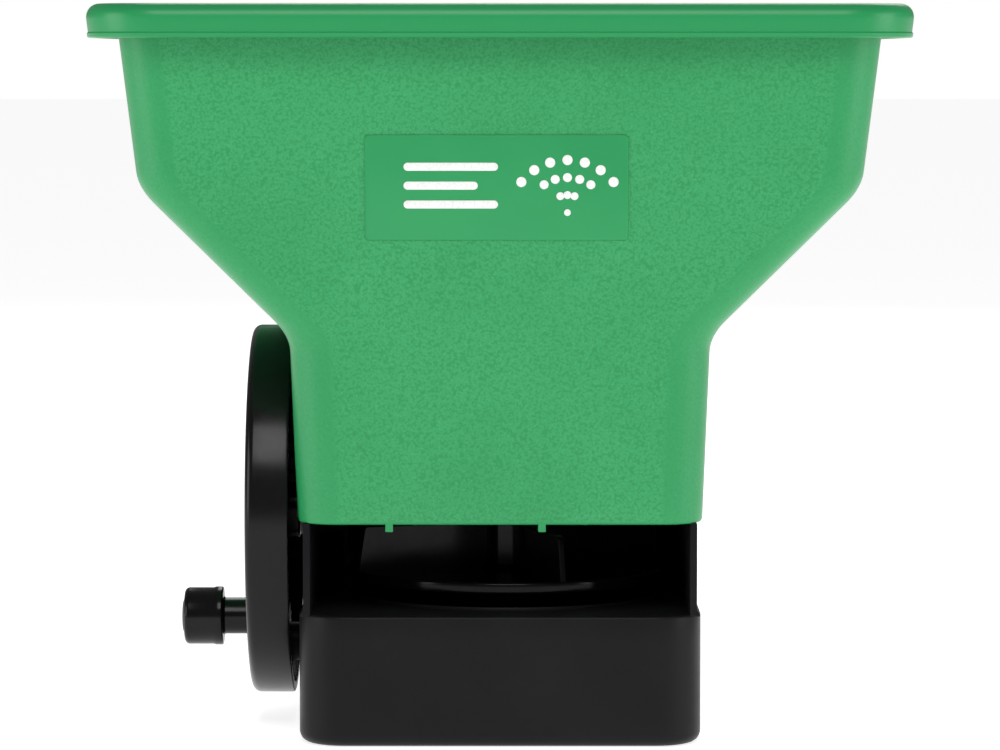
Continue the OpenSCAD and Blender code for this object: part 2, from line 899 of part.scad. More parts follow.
// Rod with a slotted eye that the trigger's pin rides up and down in
module gate_rod() {
    rise = 2.4;
    slot_r = link_r + gap;
    color(steel) {
        translate([0, gate_back - lug_h, rod_z])
            rotate([-90, 0, 0]) cylinder(r = rod_r, h = trigger_y - 5 - gate_back + lug_h);
        difference() {
            translate([-eye_half, trigger_y - 5.2, rod_z - 4])
                cube([2 * eye_half, 10.4, rise + 8]);
            along_x(-eye_half - cut, eye_half + cut) {
                for (z = [0, rise]) translate([trigger_y, rod_z + z]) circle(slot_r);
                translate([trigger_y - slot_r, rod_z]) square([2 * slot_r, rise]);
            }
        }
    }
}

// ---- trigger ----

// Side outline of the trigger's blade, bent forward at its tip
module blade_outline() {
    hull() {
        translate([trigger_y, trigger_z - 6]) circle(blade_r);
        translate([trigger_y, blade_low_z]) circle(blade_r);
    }
    hull() {
        translate([trigger_y, blade_low_z]) circle(blade_r);
        translate([trigger_y - 3, blade_low_z - 6]) circle(blade_r - 0.8);
    }
}

// Hub of the trigger with a tail that the dial's cam stands over
module hub_outline() {
    translate([trigger_y, trigger_z]) circle(6.5);
    hull() {
        translate([trigger_y, trigger_z]) circle(3);
        translate([trigger_y + 12, trigger_z + 8]) circle(2.6);
    }
}

module trigger() {
    color(black)
        difference() {
            union() {
                along_x(-trigger_half, trigger_half) blade_outline();
                along_x(-trigger_half, 2) hub_outline();
            }
            along_x(2, trigger_half + cut) translate([trigger_y, trigger_z]) circle(7);
            translate([-fork_half, trigger_y - 8, blade_low_z])
                cube([2 * fork_half, 16, 22]);
            translate([-10, trigger_y, trigger_z])
                rotate([0, 90, 0]) cylinder(r = 2 + run, h = 20);
            translate([-trigger_half - cut, trigger_y, rod_z])
                rotate([0, 90, 0]) cylinder(r = link_r, h = 2 * trigger_half + 2 * cut);
        }
}

module trigger_pin() {
    color(steel)
        translate([-grip_half_w + grip_wall, trigger_y, trigger_z])
            rotate([0, 90, 0]) cylinder(r = 2, h = 2 * (grip_half_w - grip_wall));
}

module link_pin() {
    color(steel)
        translate([-trigger_half + 0.2, trigger_y, rod_z])
            rotate([0, 90, 0]) cylinder(r = link_r, h = 2 * trigger_half - 0.4);
}

// Coil beside the trigger's hub, with one leg on the grip and one behind the blade. Each
// stop on the wire is [angle round the pin, rise along the leg].
module trigger_spring() {
    stops = concat(
        [[0, spring_legs[0]]],
        [for (i = [0 : spring_turns * spring_steps]) [-i * 360 / spring_steps, 0]],
        [[-360 * spring_turns, -spring_legs[1]]]);
    last = len(stops) - 1;
    wire_points = [for (s = stops, t = [0 : spring_sides - 1])
        let (round = t * 360 / spring_sides, reach = spring_r + spring_wire * cos(round))
            [spring_x[0] - s[0] * (spring_x[1] - spring_x[0]) / (360 * spring_turns)
                + spring_wire * sin(round),
             trigger_y + reach * cos(s[0]),
             trigger_z + reach * sin(s[0]) + s[1]]];
    sides = [for (i = [0 : last - 1], t = [0 : spring_sides - 1])
        let (n = (t + 1) % spring_sides, low = i * spring_sides, high = low + spring_sides)
            [low + t, low + n, high + n, high + t]];
    start = [for (t = [spring_sides - 1 : -1 : 0]) t];
    end = [for (t = [0 : spring_sides - 1]) last * spring_sides + t];
    color(steel)
        polyhedron(points = wire_points, faces = concat(sides, [start, end]), convexity = 8);
}

// ---- grip ----

// Side outline of the loop: two arms and a hand bar, cut off at the walls in front
module grip_outline() {
    intersection() {
        difference() {
            offset(r = 13) offset(delta = -13)
                polygon([[30, grip_low], [grip_back, grip_low], [grip_back, grip_top],
                    [30, grip_top]]);
            offset(r = 9) offset(delta = -9)
                polygon([[30, gap_low], [grip_back - bar_d, gap_low],
                    [grip_back - bar_d, gap_top], [30, gap_top]]);
        }
        polygon([[box_back, 0], [box_back, 90], [waist_back, 90], [waist_back, waist_z],
            [shoulder_back, shoulder_z], [200, shoulder_z], [200, 0]]);
    }
}

module grip_block(at, size) {
    translate(at) square(size);
}

// Right half of the grip
module grip_half() {
    inner = grip_half_w - grip_wall;
    difference() {
        union() {
            difference() {
                along_x(0, grip_half_w) grip_outline();
                along_x(-cut, inner) offset(delta = -grip_wall) grip_outline();
            }
            along_x(0, inner + slice)
                intersection() {
                    grip_outline();
                    union() {
                        grip_block([box_back - 1, grip_low], [end_block, gap_low - grip_low]);
                        grip_block([waist_back - 1, gap_top], [14, grip_top - gap_top]);
                    }
                }
            for (p = grip_screw_points)
                along_x(0, inner + slice) translate(p) circle(3.6);
            along_x(trigger_half + gap, inner + slice)
                translate([trigger_y, trigger_z]) circle(5);
        }
        along_x(-cut, trigger_half + gap)
            grip_block([trigger_y - 8.5, gap_top - cut], [18, 9]);
        along_x(trigger_half, inner) translate([trigger_y, trigger_z]) circle(2);
        for (p = grip_screw_points)
            along_x(-cut, inner - 1) translate(p) circle(pilot_r);
        for (p = [handle_low, handle_high])
            translate([p[0], waist_back - 2, p[1]])
                rotate([-90, 0, 0]) cylinder(r = screw_r, h = 14);
    }
}

module grip_left() {
    color(black)
        difference() {
            mirror([1, 0, 0]) grip_half();
            for (p = grip_screw_points) {
                along_x(-grip_half_w - cut, cut) translate(p) circle(screw_r);
                along_x(-grip_half_w - cut, -grip_half_w + small_head_h + 0.2)
                    translate(p) circle(head_r + 0.2);
            }
        }
}

module grip_right() {
    color(black)
        difference() {
            grip_half();
            along_x(4, grip_half_w + cut) translate([dial_y, dial_z]) circle(shaft_r + run);
        }
}

module grip_screws() {
    color(steel)
        for (p = grip_screw_points)
            outward(p[0], p[1])
                translate([0, 0, grip_half_w - 0.2])
                    screw(pilot_r, grip_screw_len, head_r, small_head_h);
}

module handle_screws() {
    seat_high = waist_back - hopper_wall - 1.3;
    color(steel)
        for (side = [-1, 1]) {
            translate([side * handle_low[0], box_back - box_wall - handle_head_h, handle_low[1]])
                rotate([90, 0, 0]) screw(screw_r, 12, head_r, handle_head_h);
            translate([side * handle_high[0], seat_high - handle_head_h, handle_high[1]])
                rotate([90, 0, 0]) screw(screw_r, 12, head_r, handle_head_h);
        }
}

// ---- flow dial ----

module flow_dial() {
    flutes = 12;
    color(dark)
        translate([grip_half_w + gap, dial_y, dial_z])
            rotate([0, 90, 0]) {
                difference() {
                    cylinder(r = dial_r, h = dial_h);
                    for (i = [0 : flutes - 1])
                        rotate(i * 360 / flutes)
                            translate([dial_r + 0.6, 0, 1.4]) cylinder(r = 1.5, h = dial_h);
                    translate([-dial_r + 1.4, -0.5, dial_h - 0.5]) cube([6, 1, 1]);
                }
                translate([0, 0, -gap - grip_wall - 6]) cylinder(r = shaft_r, h = 9);
            }
}

// Egg-shaped stop on the dial's shaft
module dial_cam() {
    color(dark)
        difference() {
            along_x(-3, 8)
                hull() {
                    translate([dial_y, dial_z]) circle(4.2);
                    translate([dial_y, dial_z + 4]) circle(2.4);
                }
            along_x(4, 9) translate([dial_y, dial_z]) circle(shaft_r);
        }
}

hopper();
label_plate();
housing();
bottom_cover();
cover_screws();
hopper_screws();
crank_wheel();
wheel_axle();
thrust_washer();
axle_washer();
axle_screw();
crank_pin();
knob();
knob_cap();
knob_screw();
drive_pinion();
layshaft();
layshaft_bush();
bearing_block();
block_bush();
layshaft_bevel();
spinner_bevel();
spinner_shaft();
foot_bush();
deck_bush();
floor_bush();
spinner_disc();
agitator();
flow_gate();
gate_guide();
guide_screws();
gate_rod();
trigger();
trigger_pin();
link_pin();
trigger_spring();
grip_left();
grip_right();
grip_screws();
handle_screws();
flow_dial();
dial_cam();
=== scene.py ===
"""Looks of a hand-cranked garden spreader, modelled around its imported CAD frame.

Sizes are in millimetres, in the frame's own axes: the front faces -Y, the crank wheel is
at -X and +Z is up. Pieces are turned into Blender's metres when their points are placed.
"""

from __future__ import annotations

import json
import logging
import math
from dataclasses import dataclass, field
from enum import Enum
from typing import Any, Callable, Iterable, Sequence

import bmesh
import bpy
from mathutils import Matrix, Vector

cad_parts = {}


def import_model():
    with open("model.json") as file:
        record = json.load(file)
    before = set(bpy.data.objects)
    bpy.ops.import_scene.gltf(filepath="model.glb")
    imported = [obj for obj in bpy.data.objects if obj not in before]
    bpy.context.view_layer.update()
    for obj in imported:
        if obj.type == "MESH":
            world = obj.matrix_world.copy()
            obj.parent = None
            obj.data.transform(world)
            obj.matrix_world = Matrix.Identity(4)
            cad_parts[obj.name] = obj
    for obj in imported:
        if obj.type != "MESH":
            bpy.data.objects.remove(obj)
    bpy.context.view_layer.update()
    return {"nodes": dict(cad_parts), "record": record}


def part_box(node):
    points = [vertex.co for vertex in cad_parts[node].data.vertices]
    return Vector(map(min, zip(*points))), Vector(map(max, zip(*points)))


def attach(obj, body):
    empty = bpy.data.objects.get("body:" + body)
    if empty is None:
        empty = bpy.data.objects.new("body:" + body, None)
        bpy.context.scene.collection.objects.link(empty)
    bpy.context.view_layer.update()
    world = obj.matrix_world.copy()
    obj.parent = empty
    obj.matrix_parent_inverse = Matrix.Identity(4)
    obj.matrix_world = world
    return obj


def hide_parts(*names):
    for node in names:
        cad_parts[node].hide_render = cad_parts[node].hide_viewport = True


LOG = logging.getLogger("spreader")
MM = 0.001
Point = tuple[float, float, float]
Flat = tuple[float, float]
Ring = list[Point]
Colour = tuple[float, float, float]


class Cut(Enum):
    """How one solid changes another."""

    AWAY = "DIFFERENCE"
    JOIN = "UNION"


class Axis(Enum):
    """Direction that a turned profile is laid along."""

    OUTWARD = "towards -X"
    UP = "towards +Z"
    RIGHT = "towards +X"


# ---------------------------------------------------------------- modelling


def extent(node: str) -> tuple[Vector, Vector]:
    """Lowest and highest corner of a CAD node, in millimetres."""
    low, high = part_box(node)
    return low / MM, high / MM


def middle(node: str) -> Vector:
    """Middle of a CAD node's box, in millimetres."""
    low, high = extent(node)
    return (low + high) / 2


def deselect_all() -> None:
    """Leaves edit mode and clears the selection."""
    if bpy.context.object and bpy.context.object.mode != "OBJECT":
        bpy.ops.object.mode_set(mode="OBJECT")
    bpy.ops.object.select_all(action="DESELECT")


def pick(*pieces: bpy.types.Object) -> None:
    """Selects only these pieces and makes the first one active."""
    deselect_all()
    for piece in pieces:
        piece.select_set(True)
    bpy.context.view_layer.objects.active = pieces[0]


def skin(name: str, rings: Sequence[Ring], looped: bool = False,
         mask: Callable[[int, int], float] | None = None) -> bpy.types.Object:
    """Extrudes a ring of points through a row of rings, and closes the result.

    Args:
        name: The new piece's name.
        rings: Rings with the same number of points each, in millimetres.
        looped: True if the last ring meets the first, and False if both ends get a lid.
        mask: Gives each point's grain, from its row and its place in the ring.

    Returns:
        The closed piece, its faces pointing outwards.
    """
    deselect_all()
    bpy.ops.mesh.primitive_circle_add(vertices=len(rings[0]), radius=1.0, fill_type="NOTHING")
    piece = bpy.context.object
    piece.name = name
    bpy.ops.object.mode_set(mode="EDIT")
    bpy.ops.mesh.select_all(action="SELECT")
    mesh = bmesh.from_edit_mesh(piece.data)
    mesh.verts.ensure_lookup_table()
    place = mesh.verts.layers.int.new("place")
    row = mesh.verts.layers.int.new("row")
    for index, vert in enumerate(mesh.verts):
        vert[place] = index
        vert.co = Vector(rings[0][index]) * MM
    for number, ring in enumerate(rings[1:], start=1):
        bpy.ops.mesh.extrude_edges_move()
        mesh = bmesh.from_edit_mesh(piece.data)
        place, row = (mesh.verts.layers.int[key] for key in ("place", "row"))
        for vert in (v for v in mesh.verts if v.select):
            vert[row] = number
            vert.co = Vector(ring[vert[place]]) * MM
    if looped:
        bpy.ops.mesh.select_all(action="SELECT")
        bpy.ops.mesh.remove_doubles(threshold=1e-7)
    else:
        for end in (0, len(rings) - 1):
            select_rows(piece, end)
            bpy.ops.mesh.edge_face_add()
    bpy.ops.mesh.select_all(action="SELECT")
    bpy.ops.mesh.normals_make_consistent(inside=False)
    bpy.ops.object.mode_set(mode="OBJECT")
    if mask:
        places, rows = (piece.data.attributes[key].data for key in ("place", "row"))
        values = [mask(r.value, p.value) for r, p in zip(rows, places)]
        piece.data.attributes.new("grain", "FLOAT", "POINT").data.foreach_set("value", values)
    for key in ("place", "row"):
        piece.data.attributes.remove(piece.data.attributes[key])
    return piece


def select_rows(piece: bpy.types.Object, number: int) -> None:
    """Selects one ring of a piece that is being skinned, in edit mode."""
    bpy.ops.mesh.select_all(action="DESELECT")
    mesh = bmesh.from_edit_mesh(piece.data)
    row = mesh.verts.layers.int["row"]
    for vert in mesh.verts:
        vert.select = vert[row] == number
    mesh.select_flush(True)
    bmesh.update_edit_mesh(piece.data)


def carve(piece: bpy.types.Object, *tools: bpy.types.Object, how: Cut = Cut.AWAY) -> None:
    """Applies tool solids to a piece with a boolean modifier each, and removes the tools."""
    for tool in tools:
        pick(piece)
        change = piece.modifiers.new("carve", "BOOLEAN")
        change.object = tool
        change.operation = how.value
        change.solver = "EXACT"
        bpy.ops.object.modifier_apply(modifier=change.name)
        bpy.data.objects.remove(tool, do_unlink=True)


def block(name: str, low: Point, high: Point, edge: float = 0.0) -> bpy.types.Object:
    """Adds a box between two corners, its edges rounded by the edge radius."""
    deselect_all()
    middle = [(a + b) / 2 * MM for a, b in zip(low, high)]
    size = [(b - a) * MM for a, b in zip(low, high)]
    bpy.ops.mesh.primitive_cube_add(size=1.0, location=middle, scale=size)
    piece = bpy.context.object
    piece.name = name
    bpy.ops.object.transform_apply(location=True, rotation=True, scale=True)
    if edge:
        soften(piece, edge)
    return piece


def soften(piece: bpy.types.Object, width: float, segments: int = 3, angle: float = 40) -> None:
    """Rounds the edges of a piece that are sharper than the angle, in degrees."""
    pick(piece)
    change = piece.modifiers.new("soften", "BEVEL")
    change.width = width * MM
    change.segments = segments
    change.limit_method = "ANGLE"
    change.angle_limit = math.radians(angle)
    change.use_clamp_overlap = True
    bpy.ops.object.modifier_apply(modifier=change.name)


def circle(radius: float, at: float, axis: Axis, centre: Flat, steps: int) -> Ring:
    """Ring of points round an axis.

    Args:
        radius: Radius of the ring.
        at: Place of the ring along the axis.
        axis: The axis's direction.
        centre: Where the axis crosses: (y, z) for a sideways axis and (x, y) for UP.
        steps: Number of points.

    Returns:
        The points, in order round the axis.
    """
    ring: Ring = []
    for step in range(steps):
        turn = 2 * math.pi * step / steps
        a, b = centre[0] + radius * math.cos(turn), centre[1] + radius * math.sin(turn)
        ring.append(lay(a, b, at, axis))
    return ring


def lay(a: float, b: float, at: float, axis: Axis) -> Point:
    """Point with in-plane coordinates a and b, at a distance along the axis."""
    if axis is Axis.UP:
        return (a, b, at)
    return (at if axis is Axis.RIGHT else -at, a, b)


def turned(name: str, profile: Sequence[Flat], axis: Axis, centre: Flat, steps: int = 96,
           looped: bool = False) -> bpy.types.Object:
    """Turns a profile of (radius, place along the axis) points into a round piece."""
    return skin(name, [circle(r, at, axis, centre, steps) for r, at in profile], looped)


def drum(radius: float, start: float, end: float, axis: Axis, centre: Flat,
         steps: int = 48) -> bpy.types.Object:
    """Plain cylinder along an axis, for carving."""
    return turned("drum", [(radius, start), (radius, end)], axis, centre, steps)


def arc(centre: Flat, radius: float, start: float, end: float, steps: int = 6) -> list[Flat]:
    """Points along an arc, its angles in degrees."""
    angles = [math.radians(start + (end - start) * i / steps) for i in range(steps + 1)]
    return [(centre[0] + radius * math.cos(a), centre[1] + radius * math.sin(a)) for a in angles]


def rounded(corners: Sequence[tuple[float, float, float]], steps: int = 8) -> list[Flat]:
    """Closed outline whose corners are rounded.

    Args:
        corners: (x, y, radius) of each corner in order. A radius of 0 keeps it sharp.
        steps: Points along each rounded corner.

    Returns:
        The outline's points.
    """
    outline: list[Flat] = []
    for index, (x, y, radius) in enumerate(corners):
        if radius <= 0:
            outline.append((x, y))
            continue
        here = Vector((x, y))
        before = (Vector(corners[index - 1][:2]) - here).normalized()
        after = (Vector(corners[(index + 1) % len(corners)][:2]) - here).normalized()
        half = before.angle(after) / 2
        reach = radius / math.tan(half)
        middle = here + (before + after).normalized() * (radius / math.sin(half))
        first, last = here + before * reach - middle, here + after * reach - middle
        sweep = first.angle_signed(last)
        for step in range(steps + 1):
            turn = -sweep * step / steps
            c, s = math.cos(turn), math.sin(turn)
            outline.append((middle.x + first.x * c - first.y * s,
                            middle.y + first.x * s + first.y * c))
    return outline


def spaced(outline: Sequence[Flat], gap: float) -> list[Flat]:
    """Adds points along an outline's long sides, no more than gap apart."""
    result: list[Flat] = []
    for index, point in enumerate(outline):
        after = outline[(index + 1) % len(outline)]
        parts = max(1, math.ceil(math.dist(point, after) / gap))
        result += [(point[0] + (after[0] - point[0]) * i / parts,
                    point[1] + (after[1] - point[1]) * i / parts) for i in range(parts)]
    return result


def inset(outline: Sequence[Flat], depth: float) -> list[Flat]:
    """Moves an anticlockwise outline inwards by a depth."""
    result: list[Flat] = []
    for index, point in enumerate(outline):
        here = Vector(point)
        into = (here - Vector(outline[index - 1])).normalized()
        out = (Vector(outline[(index + 1) % len(outline)]) - here).normalized()
        normals = [Vector((-way.y, way.x)) for way in (into, out)]
        middle = (normals[0] + normals[1]).normalized()
        stretch = max(0.5, middle.dot(normals[0]))
        moved = here + middle * (depth / stretch)
        result.append((moved.x, moved.y))
    return result


def pillow(name: str, outline: Sequence[Flat], start: float, end: float, axis: Axis,
           edges: tuple[float, float]) -> bpy.types.Object:
    """Extrudes an outline along an axis, its two rims rounded.

    Args:
        name: The new piece's name.
        outline: Anticlockwise outline, in the plane across the axis.
        start: Place of the first face along the axis.
        end: Place of the last face, further along.
        axis: The axis's direction.
        edges: Radius of the rounding at the first face and at the last one.

    Returns:
        The closed piece.
    """
    steps = 5
    layers: list[Flat] = []
    for side, (face, radius) in enumerate(zip((start, end), edges)):
        inward = 1 if side == 0 else -1
        turn = [math.pi / 2 * i / steps for i in range(steps + 1)]
        bend = [(radius * (1 - math.sin(a)), face + inward * radius * (1 - math.cos(a)))
                for a in turn] if radius else [(0.0, face)]
        layers += bend if side == 0 else bend[::-1]
    rings = [[lay(a, b, at, axis) for a, b in inset(outline, depth)] for depth, at in layers]
    return skin(name, rings)


def smooth(piece: bpy.types.Object, angle: float = 32) -> bpy.types.Object:
    """Shades a piece smoothly across edges that are blunter than the angle."""
    pick(piece)
    bpy.ops.object.shade_smooth_by_angle(angle=math.radians(angle))
    return piece


# ---------------------------------------------------------------- shader graphs


class Signal:
    """A number on a node socket, which Python arithmetic turns into Math nodes."""

    def __init__(self, graph: Graph, socket: bpy.types.NodeSocket) -> None:
        """Wraps one output socket of a graph."""
        self.graph = graph
        self.socket = socket

    def _with(self, operation: str, first: Any, second: Any) -> Signal:
        """Adds one Math node."""
        node = self.graph.node("ShaderNodeMath", {"operation": operation}, {0: first, 1: second})
        return Signal(self.graph, node.outputs[0])

    def __add__(self, other: Any) -> Signal:
        """Sum."""
        return self._with("ADD", self, other)

    __radd__ = __add__

    def __sub__(self, other: Any) -> Signal:
        """Difference."""
        return self._with("SUBTRACT", self, other)

    def __rsub__(self, other: Any) -> Signal:
        """Difference, with the signal on the right."""
        return self._with("SUBTRACT", other, self)

    def __mul__(self, other: Any) -> Signal:
        """Product."""
        return self._with("MULTIPLY", self, other)

    __rmul__ = __mul__

    def ramp(self, low: float, high: float) -> Signal:
        """Smooth step from 0 at low to 1 at high."""
        node = self.graph.node("ShaderNodeMapRange", {"interpolation_type": "SMOOTHSTEP"},
                               {"Value": self, "From Min": low, "From Max": high})
        return Signal(self.graph, node.outputs[0])


class Graph:
    """Node tree of one material."""

    def __init__(self, name: str) -> None:
        """Starts an empty tree with a surface shader."""
        self.material = bpy.data.materials.new(name)
        self.material.use_nodes = True
        self.tree = self.material.node_tree
        self.tree.nodes.clear()
        self.shader = self.node("ShaderNodeBsdfPrincipled")
        self.node("ShaderNodeOutputMaterial", {}, {"Surface": self.shader.outputs[0]})
        self.coords = self.node("ShaderNodeTexCoord").outputs["Object"]

    def node(self, kind: str, settings: dict[str, Any] | None = None,
             inputs: dict[Any, Any] | None = None) -> bpy.types.Node:
        """Adds a node.

        Args:
            kind: Blender's name of the node type.
            settings: Properties of the node, set first.
            inputs: A value, socket or signal for each input, by name or number.

        Returns:
            The node.
        """
        made = self.tree.nodes.new(kind)
        for key, value in (settings or {}).items():
            setattr(made, key, value)
        for key, value in (inputs or {}).items():
            if isinstance(value, Signal):
                value = value.socket
            if isinstance(value, bpy.types.NodeSocket):
                self.tree.links.new(value, made.inputs[key])
            else:
                made.inputs[key].default_value = value
        return made

    def noise(self, size: float, detail: float = 2.0, rough: float = 0.5) -> Signal:
        """Cloudy noise whose features are about size millimetres across."""
        node = self.node("ShaderNodeTexNoise", {}, {
            "Vector": self.coords, "Scale": 1 / (size * MM), "Detail": detail,
            "Roughness": rough})
        return Signal(self, node.outputs[0])

    def pebbles(self, size: float) -> Signal:
        """Rounded cells about size millimetres across, 0 at their middles."""
        node = self.node("ShaderNodeTexVoronoi", {"feature": "SMOOTH_F1"}, {
            "Vector": self.coords, "Scale": 1 / (size * MM), "Smoothness": 0.6})
        return Signal(self, node.outputs["Distance"])

    def stored(self, name: str) -> Signal:
        """A number kept on the mesh's points."""
        node = self.node("ShaderNodeAttribute", {"attribute_name": name})
        return Signal(self, node.outputs["Fac"])

    def mix(self, factor: Signal, first: Any, second: Any) -> bpy.types.NodeSocket:
        """Mixes two colours, each given as numbers or as a socket."""
        pair = [(*tone, 1) if isinstance(tone, tuple) else tone for tone in (first, second)]
        node = self.node("ShaderNodeMix", {"data_type": "RGBA"},
                         {0: factor, 6: pair[0], 7: pair[1]})
        return node.outputs[2]

    def bump(self, height: Signal, depth: float, strength: float = 1.0) -> bpy.types.NodeSocket:
        """Surface relief of a depth in millimetres."""
        node = self.node("ShaderNodeBump", {}, {
            "Strength": strength, "Distance": depth * MM, "Height": height})
        return node.outputs[0]

    def surface(self, **sockets: Any) -> bpy.types.Material:
        """Sets the surface shader's inputs, underscores standing for spaces."""
        for key, value in sockets.items():
            name = " ".join(word.capitalize() for word in key.split("_")).replace("Ior", "IOR")
            if isinstance(value, Signal):
                value = value.socket
            if isinstance(value, bpy.types.NodeSocket):
                self.tree.links.new(value, self.shader.inputs[name])
            else:
                self.shader.inputs[name].default_value = value
        return self.material


# ---------------------------------------------------------------- finishes


@dataclass(frozen=True)
class GrainedPlastic:
    """Moulded plastic with a fine pebbled grain on its flat walls, the pebble tops painted with
    highlight and the hollows between them painted with shade.
    """

    name: str
    polished: Colour
    grained: Colour
    # Painted highlight colour for the tops of the pebbles.
    light: Colour
    # Dark tone for the random clouds, also the painted shade in the grain's hollows.
    dark_tone_and_hollow_shade: Colour
    grain: float = 0.75
    depth: float = 0.11
    roughness: float = 0.33

    def material(self) -> bpy.types.Material:
        """Builds the material. The grain fades where the mesh's own mask is 0."""
        graph = Graph(self.name)
        mask = graph.stored("grain").ramp(0.0, 1.0)
        wander = graph.noise(self.grain * 1.3, detail=3.0, rough=0.6)
        height = (1 - graph.pebbles(self.grain)) * 0.6 + wander * 0.8
        clouds = graph.noise(42.0, detail=2.0).ramp(0.3, 0.75)
        ground = graph.mix(mask, self.polished, graph.mix(clouds * 0.3, self.grained, self.dark_tone_and_hollow_shade))
        # Painted highlight on the pebble tops and painted shade in the hollows, both following the
        # bump's height.
        lit = graph.mix(height.ramp(0.78, 1.05) * mask * 0.4, ground, self.light)
        hollow_shade = graph.mix((1 - height.ramp(0.52, 0.76)) * mask * 0.6, lit, self.dark_tone_and_hollow_shade)
        return graph.surface(
            base_color=hollow_shade, roughness=self.roughness + mask * 0.12 + (wander - 0.5) * 0.08,
            specular_ior_level=0.36,
            normal=graph.bump(height * mask + graph.noise(0.35) * 0.05, self.depth, 0.6))


@dataclass(frozen=True)
class MouldedPlastic:
    """Smooth moulded plastic with faint flow clouds, fine texture and handling marks."""

    name: str
    base: Colour
    cloud: Colour
    roughness: float
    texture: float = 0.02
    gloss: float = 0.5

    def material(self) -> bpy.types.Material:
        """Builds the material."""
        graph = Graph(self.name)
        clouds = graph.noise(24.0, detail=3.0).ramp(0.35, 0.72)
        marks = graph.noise(3.2, detail=4.0, rough=0.65)
        fine = graph.noise(0.45, detail=1.0)
        return graph.surface(
            base_color=graph.mix(clouds, self.base, self.cloud),
            roughness=self.roughness + (marks - 0.5) * 0.14 + clouds * 0.04,
            specular_ior_level=self.gloss,
            normal=graph.bump(fine * 0.7 + marks * 0.3, self.texture, 0.5))


@dataclass(frozen=True)
class PlatedSteel:
    """Bright zinc-plated steel with turning marks."""

    name: str
    base: Colour
    roughness: float = 0.3

    def material(self) -> bpy.types.Material:
        """Builds the material."""
        graph = Graph(self.name)
        marks = graph.noise(0.6, detail=3.0)
        patches = graph.noise(5.0, detail=2.0).ramp(0.35, 0.7)
        tint = tuple(channel * 0.72 for channel in self.base)
        return graph.surface(
            base_color=graph.mix(patches * 0.6, self.base, tint), metallic=1.0,
            roughness=self.roughness + patches * 0.12 + (marks - 0.5) * 0.1,
            normal=graph.bump(marks, 0.01, 0.4))


@dataclass(frozen=True)
class Print:
    """Matt ink, slightly uneven in its cover."""

    name: str
    base: Colour

    def material(self) -> bpy.types.Material:
        """Builds the material."""
        graph = Graph(self.name)
        cover = graph.noise(0.8, detail=3.0).ramp(0.3, 0.6)
        thin = tuple(channel * 0.9 for channel in self.base)
        return graph.surface(base_color=graph.mix(cover, thin, self.base),
                             roughness=0.5 + cover * 0.06)


FINISHES = {
    # The light colour paints highlight on the pebble tops; the dark one paints shade in the hollows and
    # also gives dark tone.
    "hopper_green": GrainedPlastic(
        "hopper_green", polished=(0.017, 0.282, 0.087), grained=(0.036, 0.335, 0.117),
        light=(0.075, 0.41, 0.175), dark_tone_and_hollow_shade=(0.012, 0.235, 0.060)),
    "label_green": MouldedPlastic("label_green", base=(0.019, 0.290, 0.092),
                                  cloud=(0.022, 0.305, 0.098), roughness=0.42, texture=0.006,
                                  gloss=0.36),
    "black_plastic": MouldedPlastic("black_plastic", base=(0.0080, 0.0071, 0.0083),
                                    cloud=(0.0100, 0.0090, 0.0103), roughness=0.38, gloss=0.13),
    "black_gloss": MouldedPlastic("black_gloss", base=(0.0036, 0.0031, 0.0033),
                                  cloud=(0.0048, 0.0042, 0.0044), roughness=0.2,
                                  texture=0.010, gloss=0.22),
    # The disc is black plastic; its even darker colour is painted shade for the dark opening that it
    # turns in.
    "disc_plastic": MouldedPlastic("disc_plastic", base=(0.0014, 0.0016, 0.0014),
                                   cloud=(0.0020, 0.0022, 0.0020), roughness=0.16, texture=0.008,
                                   gloss=0.14),
    "dial_grey": MouldedPlastic("dial_grey", base=(0.050, 0.050, 0.052),
                                cloud=(0.060, 0.060, 0.062), roughness=0.40, gloss=0.4),
    "nylon": MouldedPlastic("nylon", base=(0.56, 0.52, 0.42), cloud=(0.62, 0.58, 0.48),
                            roughness=0.46),
    "steel": PlatedSteel("steel", base=(0.56, 0.57, 0.58)),
}
PRINT_WHITE = Print("print_white", base=(0.86, 0.87, 0.85))


@dataclass(frozen=True)
class Shelf:
    """Keeps one Blender material for each of the record's slots."""

    made: dict[str, bpy.types.Material] = field(default_factory=dict)

    def take(self, slot: str) -> bpy.types.Material:
        """Gives a slot's material, made once."""
        if slot not in self.made:
            self.made[slot] = FINISHES[slot].material()
        return self.made[slot]

    def hand_in(self, piece: bpy.types.Object, body: str, slot: str, *stands_for: str) -> None:
        """Dresses a finished piece and fixes it to its body.

        Args:
            piece: The finished piece.
            body: The CAD body that it moves with.
            slot: The record's material slot.
            stands_for: CAD nodes that it is shown in place of.
        """
        smooth(piece)
        piece.data.materials.clear()
        piece.data.materials.append(self.take(slot))
        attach(piece, body)
        if stands_for:
            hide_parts(*stands_for)
        LOG.info("%s rides on %s: %d faces", piece.name, body, len(piece.data.polygons))


# ---------------------------------------------------------------- hopper


@dataclass(frozen=True)
class Bend:
    """Straight stretches through (height, value) corners, eased over each inner corner."""

    corners: tuple[Flat, ...]
    ease: float

    def at(self, height: float) -> float:
        """Value at a height."""
        slopes = [(b[1] - a[1]) / (b[0] - a[0]) for a, b in zip(self.corners, self.corners[1:])]
        value = self.corners[0][1] + slopes[0] * (height - self.corners[0][0])
        for (corner, _), before, after in zip(self.corners[1:], slopes, slopes[1:]):
            if height >= corner + self.ease:
                value += (after - before) * (height - corner)
            elif height > corner - self.ease:
                value += (after - before) * (height - corner + self.ease) ** 2 / (4 * self.ease)
        return value


